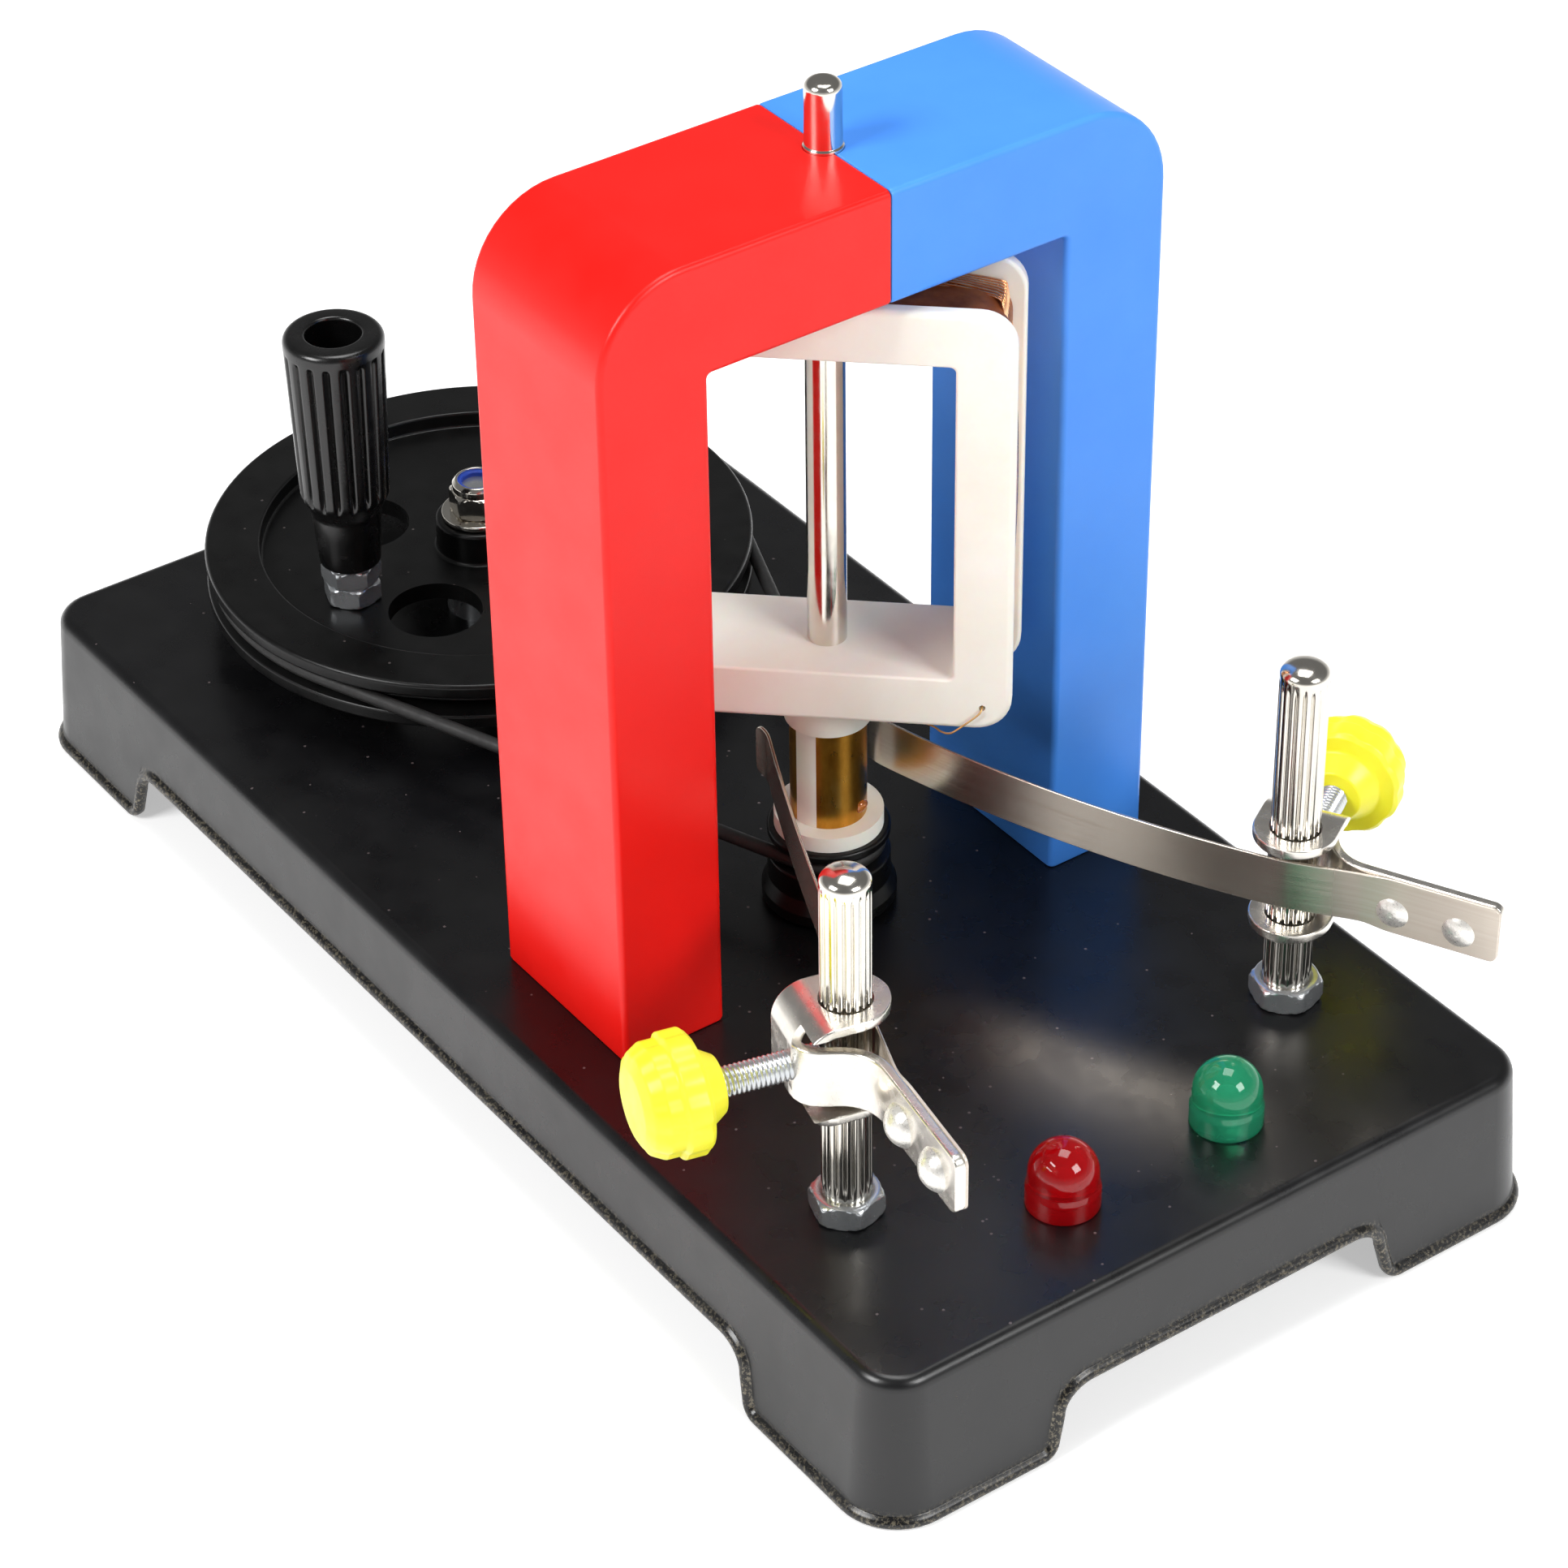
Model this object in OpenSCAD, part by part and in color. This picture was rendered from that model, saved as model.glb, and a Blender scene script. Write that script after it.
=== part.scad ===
// Demonstration electric motor: a U magnet, a wound rotor with a split-ring commutator,
// two leaf brushes on fluted posts, two lamps, and a crank pulley with a belt, on a steel tray.
// Millimetres. +X points to the lamp end, +Z up, and the origin is the middle of the resting face.

/* [Base] */

// Length of the tray at its top edge
base_l = 200; // [180:1:260]
// Width of the tray at its top edge
base_w = 100; // [92:1:140]
// Height of the tray over its feet
base_h = 21.6; // [18:0.1:40]
// Thickness of the pressed sheet
sheet = 1.0; // [0.8:0.1:2]
// Radius of the tray's upright corners
corner_r = 6; // [4:0.5:12]
// Bend radius of the top edge
top_r = 1.5; // [1:0.1:3]
// Spread of each side from the top edge down to the lip
draft = 1.5; // [0.5:0.1:4]
// How far the rolled lip stands proud of the side
lip_out = 0.8; // [0.4:0.1:1.5]
// Height of the rolled lip
lip_h = 1.6; // [1:0.1:3]
// Height of the arches between the feet
arch_h = 9; // [5:0.1:12]
// Length of each foot at the long sides
foot_l = 27; // [20:0.5:45]
// Length of each foot at the short ends
foot_w = 25; // [18:0.5:35]

/* [Magnet] */

// Middle of the magnet and of the rotor along the tray
rotor_x = 19.6; // [10:0.1:30]
// Offset of the magnet and of the rotor from the tray's centre line
rotor_y = 0.5; // [-2:0.1:2]
// Thickness of the magnet along the tray
magnet_t = 26.8; // [20:0.1:40]
// Thickness of each upright leg
leg_t = 15.1; // [10:0.1:20]
// Height of the crossbar
bar_t = 15.2; // [10:0.1:22]
// Outer radius of the magnet's top corners
magnet_r = 12; // [4:0.5:15]
// Air gap between the turning coil and the legs
coil_gap = 0.8; // [0.5:0.1:3]
// Air gap between the coil and the crossbar
bar_gap = 1.9; // [0.8:0.1:4]

/* [Rotor] */

// Diameter of the rotor shaft
shaft_d = 5; // [3:0.1:6]
// Height of the shaft over the crossbar
shaft_over = 8.9; // [4:0.1:20]
// Turn of the rotor in the photographed pose, from +X
rotor_turn = -42.5; // [-180:0.5:180]
// Width of the coil former
former_w = 47.6; // [40:0.1:56]
// Height of the coil former
former_h = 59.6; // [50:0.1:70]
// Depth of the coil former
former_d = 16.5; // [14:0.1:22]
// Width of the flange seen from the front
flange_w = 7.3; // [5.5:0.1:9]
// Thickness of each flange
flange_t = 2.2; // [1.5:0.1:3]
// Corner radius of the flanges
former_r = 4.5; // [2:0.1:8]
// Wall of the spool inside the flanges
spool_t = 1.6; // [1:0.1:2.5]
// How far the winding stays below the flange edge
wind_under = 1.3; // [1.2:0.1:2.5]
// Wire diameter of the outer layer
wire_d = 0.24; // [0.15:0.01:0.26]
// Diameter of the collar under the former
collar_d = 12.4; // [9:0.1:16]
// Height of the collar
collar_h = 4.5; // [2:0.1:8]
// Diameter of the commutator barrel
comm_d = 9.9; // [8:0.1:14]
// Length of the commutator barrel
comm_l = 14.8; // [13:0.1:20]
// Thickness of the brass bars
bar_wall = 0.8; // [0.4:0.1:1.2]
// Width of the gap between the brass bars
bar_split = 3.1; // [1:0.1:4]
// Turn of the brass bars on the rotor
bar_turn = -30; // [-90:1:90]
// Diameter of the disc under the commutator
disc_d = 14.2; // [11:0.1:18]
// Thickness of the disc under the commutator
disc_t = 2.2; // [1:0.1:4]

/* [Belt drive] */

// Distance of the crank pulley's axis from the end of the tray
pulley_inset = 36.4; // [32:0.1:45]
// Flange diameter of the crank pulley
pulley_d = 76.6; // [50:0.1:84]
// Height of the crank pulley's rim
rim_h = 7; // [6:0.1:9]
// Width of the rim around the recess
rim_w = 7.7; // [5.5:0.1:10]
// Depth of the recess in the top of the pulley
recess = 2.3; // [1:0.1:2.4]
// Thickness of the pulley's web
web_t = 2.3; // [1.6:0.1:2.4]
// Diameter of the holes in the web
web_hole_d = 13; // [6:0.5:14]
// Distance of the web holes from the axis
web_hole_r = 17.5; // [15:0.1:20]
// Diameter of the pulley's hub
hub_d = 12; // [9:0.1:14]
// Rise of the hub over the rim
hub_up = 2.5; // [0.5:0.1:6]
// Turn of the crank in the photographed pose, from +X
crank_turn = -88; // [-180:1:180]
// Distance of the handle from the pulley axis
handle_reach = 21.2; // [20:0.1:24]
// Diameter of the belt
belt_d = 1.9; // [1.2:0.1:2.4]
// Height of the belt over the tray
belt_up = 8.9; // [8.8:0.1:14]
// Depth of the belt's middle below the pulley's edge
belt_in = 1.5; // [1.3:0.1:2.5]
// Flange diameter of the rotor pulley
small_d = 16; // [13:0.1:22]
// Diameter of the rotor pulley's lower disc
small_low_d = 17.6; // [13:0.1:24]
// Gap between the rotor pulley and the tray
small_gap = 0.5; // [0.3:0.1:2]
// Diameter of the crank pulley's bolt
bolt_d = 4; // [3:0.1:5]
// Width across flats of the small nuts
nut_af = 7; // [6:0.1:8]

/* [Crank handle] */

// Diameter of the grip at its top
grip_d = 13.7; // [11:0.1:16]
// Diameter of the grip under its flutes
grip_low_d = 12.4; // [10:0.1:14]
// Height of the grip
grip_h = 36.2; // [28:0.1:50]
// Length of the necked part of the grip
neck_h = 6.6; // [5:0.1:12]
// Diameter of the neck at its foot
neck_d = 8.4; // [7:0.1:9.8]
// Diameter of the bore in the top of the grip
grip_bore_d = 7.5; // [6.5:0.1:8.5]
// Number of flutes on the grip
grip_flutes = 18; // [8:1:28]
// Height of each nut under the grip
handle_nut_h = 3; // [2:0.1:4]

/* [Posts and brushes] */

// Distance of the posts from the lamp end of the tray
post_inset = 29; // [24:0.1:40]
// Distance of the posts from the centre line
post_y = 34.3; // [30:0.1:40]
// Diameter of the posts
post_d = 6.2; // [5:0.1:7]
// Height of the posts over the tray
post_h = 51.3; // [44:0.1:70]
// Number of flutes on a post
post_flutes = 18; // [8:1:20]
// Height of the hex nut at a post's foot
post_nut_h = 3.3; // [2:0.1:5]
// Width across flats of the posts' nuts
post_nut_af = 8.2; // [7.6:0.1:11]
// Middle height of the left and the right clamp over the tray
clamp_up = [24.7, 20.1];
// Turn of the left and the right clamp, from +X
clamp_turn = [14, 31];
// Bend of the left and the right leaf where it leaves its arm
leaf_kink = [6, 0];
// Height of a clamp over its ears
clamp_h = 14.4; // [12:0.1:18]
// Sheet thickness of a clamp
clamp_t = 1.3; // [0.8:0.1:1.5]
// Radius of a clamp's ears
ear_r = 5.3; // [5:0.1:7]
// Distance from a post to the clamp's back
clamp_back = 7.4; // [7:0.1:12]
// Reach of a clamp's arm from its post
arm_l = 27.6; // [24:0.1:36]
// Height of an arm
arm_h = 8.2; // [6:0.1:9]
// Height of a brush leaf
leaf_h = 7.6; // [5:0.1:8]
// Thickness of a brush leaf
leaf_t = 0.4; // [0.2:0.05:0.6]
// Gap between a leaf and the commutator in the photographed pose
brush_gap = 3.6; // [1:0.1:6]
// Places of the rivets along an arm
rivet_at = [13.8, 22.4];
// Diameter of a rivet head
rivet_d = 5.6; // [4:0.1:6.5]
// Diameter of a rivet's hammered end, on the leaf
rivet_tail = 4.3; // [3:0.1:5]
// How far the rivets sit below an arm's middle
rivet_drop = 1; // [0:0.1:1.2]
// Lean of an arm's straight end towards its leaf, in degrees
arm_lean = 4; // [0:0.5:6]
// How far a clamp's ears sit off its arm's middle, up on the left, down on the right
ear_shift = 0.7; // [0:0.1:1.5]
// Diameter of a thumb screw's rod
rod_d = 3.8; // [3:0.1:5]
// Diameter of a knob
knob_d = 15.4; // [12:0.1:20]
// Distance from a post to the face of the knob's boss
knob_out = 16; // [15:0.1:22]

/* [Lamps] */

// Distance of the lamps from the lamp end of the tray
lamp_inset = 14.7; // [10:0.1:20]
// Distance of the lamps from the centre line
lamp_y = 12.7; // [8:0.1:30]
// Diameter of a lamp's dome
lamp_d = 8.8; // [4:0.1:10]
// Height of a lamp over the tray
lamp_h = 9.1; // [8.5:0.1:12]

/* [Hidden] */

$fn = 48;
eps = 0.01;
fit = 0.05;          // radial clearance of a running fit
near = 0.25;         // gap between faces that pass each other
end_play = 0.1;      // gap along an axis

post_x = base_l/2 - post_inset;
lamp_x = base_l/2 - lamp_inset;
pulley_x = pulley_inset - base_l/2;
deck = base_h;                       // top of the tray
under = base_h - sheet;              // underside of the tray's top

// rotor stack, from the tray upwards
shaft_r = shaft_d/2;
small_z = deck + small_gap;
belt_z = deck + belt_up;
groove_half = belt_d/2 + 0.45;       // half height of a groove at its mouth
small_top = belt_z + groove_half + 1.4;
disc_z = small_top;
barrel_z = disc_z + disc_t;
collar_z = barrel_z + comm_l;
former_z = collar_z + collar_h;
former_top = former_z + former_h;
coil_z = former_z + former_h/2;
bar_z = former_top + bar_gap;        // underside of the crossbar
magnet_top = bar_z + bar_t;
shaft_top = magnet_top + shaft_over;
bearing_d = shaft_d + 4.4;
bearing_deep = 7;
shaft_foot = under - bearing_deep + 1.6;
end_r = shaft_r - 0.2;               // free end of the shaft

// magnet, with room for the turning coil
coil_reach = sqrt(pow(former_w/2, 2) + pow(former_d/2, 2));
leg_in = coil_reach + coil_gap;
leg_out = leg_in + leg_t;

// belt and pulleys
belt_big_r = pulley_d/2 - belt_in;
belt_small_r = small_d/2 - belt_in;
belt_span = rotor_x - pulley_x;
rim_z = belt_z - rim_h/2;
rim_top = rim_z + rim_h;
web_top = rim_top - recess;
web_z = web_top - web_t;
hub_top = rim_top + hub_up;
washer_t = 0.8;
washer_z = hub_top + end_play;
nut_z = washer_z + washer_t;
nut_h = 5;

// crank handle, from the web upwards
handle_z = web_top + 2*handle_nut_h + end_play;
grip_top = handle_z + grip_h;
grip_floor = handle_z + 8;
handle_at = [pulley_x + handle_reach*cos(crank_turn), rotor_y + handle_reach*sin(crank_turn)];

// window of the coil former and its winding
window_w = former_w - 2*flange_w;
window_h = former_h - 2*flange_w;
channel = former_d - 2*flange_t;
wind_w = former_w/2 - wind_under;    // half width over the winding
wind_h = former_h/2 - wind_under;
step = 1.9*wire_d;                  // half rise between the two rows at the shaft
turn_w = wind_w - wire_d/2;          // half width at the middle of the wire
turn_h = wind_h - wire_d/2 - step;
turn_r = 5;
shaft_side = shaft_r + 0.45;         // nearest middle of a loop beside the shaft
turn_side = channel/2 - 0.38;        // farthest middle of a loop from the coil's middle
loops = 2*max(1, floor(min(turn_side/0.7, 2*(turn_side - shaft_side)/0.66, 12)));
core_w = turn_w - wire_d/2 - 0.2;
core_h = turn_h - step - wire_d/2 - 0.2;

// clamp, in its own frame: x along the arm, y towards the leaf, post at the origin
leaf_y = post_d/2 + 0.2 + leaf_t/2;
arm_y = leaf_y - leaf_t/2 - clamp_t/2;
back_y = clamp_t/2 - clamp_back;
comm_r = comm_d/2;
rod_r = rod_d/2;
rivet_shank = 1.2;

nickel = [0.80, 0.80, 0.78];
zinc = [0.72, 0.74, 0.76];
black = [0.07, 0.07, 0.08];
ivory = [0.94, 0.92, 0.86];
brass = [0.80, 0.62, 0.28];
copper = [0.74, 0.42, 0.25];
yellow = [0.97, 0.93, 0.15];

// ---------- helpers ----------

// ring of points around a rounded rectangle, n steps per corner
function rounded(l, w, r, n = 6) = [for (c = [0:3]) for (i = [0:n])
    let (a = 90*c + 90*i/n, sx = (c == 0 || c == 3) ? 1 : -1, sy = c < 2 ? 1 : -1)
    [sx*(l/2 - r) + r*cos(a), sy*(w/2 - r) + r*sin(a)]];

// closed solid through rings that all have the same number of points
module skin(rings) {
    n = len(rings[0]);
    m = len(rings);
    polyhedron(points = [for (ring = rings) for (p = ring) p],
        faces = concat(
            [[for (i = [0:n - 1]) i]],
            [for (k = [0:m - 2]) for (i = [0:n - 1]) let (j = (i + 1) % n)
                [k*n + i, (k + 1)*n + j, k*n + j]],
            [for (k = [0:m - 2]) for (i = [0:n - 1]) let (j = (i + 1) % n)
                [k*n + i, (k + 1)*n + i, (k + 1)*n + j]],
            [[for (i = [n - 1:-1:0]) (m - 1)*n + i]]));
}

module plate2d(l, w, r) {
    union() {
        square([l - 2*r, w], center = true);
        square([l, w - 2*r], center = true);
        for (sx = [-1, 1]) for (sy = [-1, 1])
            translate([sx*(l/2 - r), sy*(w/2 - r)]) circle(r = r);
    }
}

module block(l, w, h, r) linear_extrude(h) plate2d(l, w, r);

module tube(h, r1, r0) difference() {
    cylinder(h = h, r = r1);
    translate([0, 0, -1]) cylinder(h = h + 2, r = r0);
}

// rod of height h with a domed tip
module domed(h, r, tip) {
    ball = (pow(r, 2) + pow(tip, 2))/2/tip;
    intersection() {
        cylinder(h = h, r = r);
        translate([0, 0, h - ball]) union() {
            sphere(r = ball);
            translate([0, 0, -h]) cylinder(h = h, r = r + 1);
        }
    }
}

// hexagon nut with rounded top corners and a round bore
module hex_nut(af, h, bore_r) difference() {
    intersection() {
        cylinder(h = h, d = af/cos(30), $fn = 6);
        cylinder(h = h, r1 = af/2 + h + 0.2, r2 = af/2 + 0.2);
    }
    translate([0, 0, -1]) cylinder(h = h + 2, r = bore_r);
}

function unit(v) = v/norm(v);

// round tube along points, each ring square to the path
function path_rings(pts, r, ref, sides = 6) = [for (i = [0:len(pts) - 1])
    let (t = unit(pts[min(i + 1, len(pts) - 1)] - pts[max(i - 1, 0)]),
        a = unit(cross(t, ref)), b = cross(t, a))
    [for (k = [0:sides - 1]) pts[i] + r*(cos(360*k/sides)*a + sin(360*k/sides)*b)]];

// ---------- tray ----------

// size of the tray's outside at a height, grown by g
function tray_ring(z, g) =
    let (low = draft*(1 - z/(deck - top_r)),
        bend = z > deck - top_r ? top_r - sqrt(max(0, pow(top_r, 2) - pow(z - deck + top_r, 2))) : 0,
        s = max(low, 0) - bend + g)
    [for (p = rounded(base_l + 2*s, base_w + 2*s, corner_r + s)) [p[0], p[1], z]];

module tray_solid(g, z0, z1) skin(concat([tray_ring(z0, g)],
    z1 > deck - top_r
        ? [for (a = [0:30:90]) tray_ring(deck - top_r + (z1 - deck + top_r)*sin(a), g)]
        : [tray_ring(z1, g)]));

module tray_inside() skin([tray_ring(-0.01, -sheet), tray_ring(deck - top_r, -sheet),
    [for (p = tray_ring(deck - top_r, -sheet - 0.6)) [p[0], p[1], under]]]);

// an arch between two feet, standing on the resting face, grown by g
module arch2d(half, g) {
    run = 3.2;
    polygon(concat(
        [[half + g + 2.4, -1], [half + g + 1, 0]],
        [for (a = [0:15:90]) [half - run*0.45 + g - run + run*cos(a)*1.0 + 0.3*run*(1 - a/90),
            arch_h + g - run + run*sin(a)]],
        [for (a = [90:15:180]) [-(half - run*0.45 + g - run) + run*cos(a)*1.0
            - 0.3*run*(a/90 - 1), arch_h + g - run + run*sin(a)]],
        [[-half - g - 1, 0], [-half - g - 2.4, -1]]));
}

module arches(g) {
    rotate([90, 0, 0]) linear_extrude(base_w + 40, center = true)
        arch2d(base_l/2 - foot_l, g);
    rotate([90, 0, 90]) linear_extrude(base_l + 40, center = true)
        arch2d(base_w/2 - foot_w, g);
}

module base_tray() color(black) difference() {
    union() {
        tray_solid(0, 0, deck);
        intersection() {
            tray_solid(lip_out, 0, arch_h + lip_h);
            union() {
                translate([-base_l, -base_w, -1]) cube([2*base_l, 2*base_w, lip_h + 1]);
                arches(lip_h);
            }
        }
    }
    tray_inside();
    arches(0);
    at_rotor() translate([0, 0, under - 1]) cylinder(h = 9, d = bearing_d);
    at_pulley() translate([0, 0, under - 1]) cylinder(h = 9, d = bolt_d);
    for (s = [-1, 1]) {
        translate([post_x, s*post_y, under - 1]) cylinder(h = 9, d = post_d - 1);
        translate([lamp_x, s*lamp_y, under - 1]) cylinder(h = 9, d = lamp_d - 2);
        at_leg(s) translate([0, 0, under - 1]) cylinder(h = 9, d = 3);
    }
}

module at_rotor() translate([rotor_x, rotor_y, 0]) children();
module at_pulley() translate([pulley_x, rotor_y, 0]) children();
module at_leg(s) at_rotor() translate([0, s*(leg_in + leg_t/2), 0]) children();
module turned() at_rotor() rotate([0, 0, rotor_turn]) children();

// ---------- magnet ----------

// front view of one half, s = -1 for the left one
module magnet_half2d(s) intersection() {
    difference() {
        union() {
            translate([-leg_out, 0]) square([2*leg_out, magnet_top - deck - magnet_r]);
            translate([0, magnet_top - deck - magnet_r - 1])
                plate2d(2*leg_out, 2*magnet_r + 2, magnet_r);
        }
        translate([-leg_in, -1]) square([2*leg_in, bar_z - deck + 1]);
    }
    translate([s < 0 ? -leg_out - 1 : 0, -1]) square([leg_out + 1, magnet_top]);
}

module magnet_half(s) difference() {
    at_rotor() translate([0, 0, deck]) rotate([90, 0, 90])
        linear_extrude(magnet_t, center = true) magnet_half2d(s);
    at_rotor() translate([0, 0, bar_z - 1]) cylinder(h = bar_t + 2, r = shaft_r + fit);
    at_leg(s) translate([0, 0, deck - 1]) cylinder(h = 10, d = 3);
}

module magnet_red() color([0.86, 0.07, 0.07]) magnet_half(-1);
module magnet_blue() color([0.20, 0.50, 0.90]) magnet_half(1);

module magnet_screw(s) color(zinc) at_leg(s) {
    translate([0, 0, under - eps]) cylinder(h = 9, d = 3);
    difference() {
        translate([0, 0, under - 2]) cylinder(h = 2, d = 6);
        for (a = [0, 90]) rotate([0, 0, a])
            translate([-2, -0.4, under - 2.5]) cube([4, 0.8, 1.5]);
    }
}

// ---------- rotor ----------

module rotor_bearing() color(ivory) at_rotor() difference() {
    union() {
        translate([0, 0, under - bearing_deep]) cylinder(h = bearing_deep + sheet, d = bearing_d);
        translate([0, 0, under - 1.5]) cylinder(h = 1.5, d = bearing_d + 4);
    }
    translate([0, 0, shaft_foot - end_play]) cylinder(h = 20, r = shaft_r + fit);
}

// the shaft, with its free end turned down from just above the magnet
module rotor_shaft() color(nickel) at_rotor() {
    shoulder = magnet_top + 0.4;
    translate([0, 0, shaft_foot]) cylinder(h = shoulder - shaft_foot, r = shaft_r);
    translate([0, 0, shoulder - eps]) domed(shaft_top - shoulder + eps, end_r, 1.1);
}

// an upright rounded plate across the rotor, from x0 to x1
module across(w, h, r, x0, x1) translate([x0, 0, coil_z]) rotate([90, 0, 90])
    linear_extrude(x1 - x0) plate2d(w, h, r);

module coil_former() color(ivory) turned() difference() {
    union() {
        across(window_w + 2*spool_t, window_h + 2*spool_t, 2.4, -former_d/2, former_d/2);
        across(former_w, former_h, former_r, -former_d/2, flange_t - former_d/2);
        across(former_w, former_h, former_r, former_d/2 - flange_t, former_d/2);
    }
    across(window_w, window_h, 0.8, -former_d, former_d);
    translate([0, 0, former_z - 1]) cylinder(h = former_h + 2, r = shaft_r);
    for (s = [-1, 1]) rotate([0, 0, s < 0 ? 180 : 0])
        translate([former_d/2 - flange_t - 1, lead_y, lead_z])
            rotate([0, 90, 0]) cylinder(h = flange_t + 2, r = lead_r, $fn = 16);
}

module coil_core() color(copper) turned() difference() {
    across(2*core_w, 2*core_h, turn_r - 0.3, -channel/2, channel/2);
    across(window_w + 2*spool_t, window_h + 2*spool_t, 2.4, -channel, channel);
    translate([0, 0, former_z - 1]) cylinder(h = former_h + 2, r = shaft_r);
}

// One loop has four corners of 4 rings and four straights of 2. The loops lie side by side
// on the uprights and part in two rows on each side of the shaft at the top and the bottom.
steps = 24;
function on_corner(j) = (j % 6) < 4;
function ring_turn(j) = let (c = floor(j/6)) on_corner(j) ? 90*c + 5 + 80/3*(j % 6) : 90*c + 90;
function squeeze(j) = pow(sin(ring_turn(j)), 2);
function loop_place(j, rise) =
    let (c = floor(j/6), w = turn_w - turn_r, h = turn_h - turn_r,
        at = [[w, h], [-w, h], [-w, -h], [w, -h]],
        out = [cos(ring_turn(j)), sin(ring_turn(j))],
        mid = on_corner(j) ? at[c] : at[c] + (at[(c + 1) % 4] - at[c])*((j % 6) - 3)/3)
    mid + (turn_r + rise)*out;
function loop_point(k) =
    let (i = floor(k/steps), j = k % steps, q = 2*k/(steps*loops) - 1,
        wide = q*turn_side,
        tight = (q < 0 ? -1 : 1)*(shaft_side + (turn_side - shaft_side)*abs(q)),
        s = squeeze(j),
        p = loop_place(j, (i % 2 == 0 ? step : -step)*s))
    [wide*(1 - s) + tight*s, p[0], p[1]];
loop_n = steps*loops;
wire_path = concat([loop_point(0) - [0, 0, wire_d]],
    [for (k = [0:loop_n]) loop_point(k)], [loop_point(loop_n) + [0, 0, wire_d]]);
wire_rings = [for (i = [0:loop_n + 2])
    let (a = ring_turn(min(max(i - 1, 0), loop_n) % steps), out = [0, cos(a), sin(a)])
    [for (k = [0:5]) wire_path[i] + wire_d/2*(cos(60*k)*out + sin(60*k)*[-1, 0, 0])]];
wire_gap = min([for (k = [0:loop_n - steps]) for (d = [-2:2]) for (m = [1, 2])
    let (o = k + m*steps + d) if (o <= loop_n && o >= 0)
    norm(loop_point(k) - loop_point(o))]) - wire_d;

module coil_winding() {
    echo(str("least gap of the winding to itself: ", wire_gap, " mm"));
    color(copper) turned() translate([0, 0, coil_z]) skin(wire_rings);
}

lead_r = 0.3;
lead_y = former_w/2 - 3.6;
lead_z = former_z + 3.4;
bar_r = comm_r - bar_wall/2;
lead_points = [
    [former_d/2 - flange_t + 0.05, lead_y, lead_z],
    [former_d/2 - 0.6, lead_y, lead_z],
    [former_d/2 + 0.25, lead_y - 0.1, lead_z - 0.2],
    [former_d/2 + 0.5, lead_y - 0.6, lead_z - 0.9],
    [former_d/2 + 0.55, lead_y - 3.0, former_z + 0.3],
    [former_d/2 + 0.35, lead_y - 4.0, former_z - 0.5],
    [former_d/2 - 0.5, lead_y - 5.1, former_z - 0.9],
    [former_d/2 - 2.0, lead_y - 6.8, former_z - 1.0],
    [former_d/2 - 4.0, collar_d/2 + 2.6, former_z - 1.3],
    [3.0, collar_d/2 + 1.3, former_z - 1.5],
    [2.2, collar_d/2 + 0.5, former_z - 1.4],
    [1.7, collar_d/2 - 0.2, former_z - 1.2]];

module coil_lead(s) color(copper) turned() rotate([0, 0, s < 0 ? 180 : 0])
    skin(path_rings(lead_points, 0.17, [0.9, -1.1, 0.45]));

module commutator_body() color(ivory) at_rotor() difference() {
    union() {
        translate([0, 0, disc_z]) cylinder(h = disc_t, d = disc_d);
        translate([0, 0, barrel_z - eps]) cylinder(h = comm_l + 2*eps, r = comm_r - bar_wall);
        intersection() {
            translate([0, 0, barrel_z - eps]) cylinder(h = comm_l + 2*eps, r = comm_r);
            rotate([0, 0, rotor_turn + bar_turn]) translate([-comm_d, -bar_split/2, 0])
                cube([2*comm_d, bar_split, collar_z]);
        }
        translate([0, 0, collar_z]) cylinder(h = collar_h, r1 = collar_d/2 - 0.6, r2 = collar_d/2);
    }
    translate([0, 0, disc_z - 1]) cylinder(h = 40, r = shaft_r);
}

module commutator_bar(s) color(brass) at_rotor() rotate([0, 0, rotor_turn + bar_turn])
    intersection() {
        translate([0, 0, barrel_z]) tube(comm_l, comm_r, comm_r - bar_wall);
        translate([-comm_d, s < 0 ? -comm_d : bar_split/2, 0])
            cube([2*comm_d, comm_d - bar_split/2, collar_z + 1]);
    }

// a groove for the belt: flat floor at r0, opening to the edge
module groove(edge_r, floor_r) translate([0, 0, belt_z]) rotate_extrude() polygon([
    [floor_r, 0.15 - belt_d/2], [floor_r, belt_d/2 - 0.15],
    [edge_r + 1, groove_half + 0.2], [edge_r + 1, -groove_half - 0.2]]);

module rotor_pulley() color(black) at_rotor() difference() {
    union() {
        translate([0, 0, small_z]) cylinder(h = 1.7, d = small_low_d);
        translate([0, 0, small_z + 1.7]) cylinder(h = 1.8, d1 = small_low_d, d2 = small_d);
        translate([0, 0, small_z + 3.5]) cylinder(h = small_top - small_z - 3.5, d = small_d);
    }
    groove(small_d/2, belt_small_r - belt_d/2 - near);
    translate([0, 0, small_z - 1]) cylinder(h = 30, r = shaft_r);
}

// ---------- crank pulley, belt and handle ----------

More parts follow.
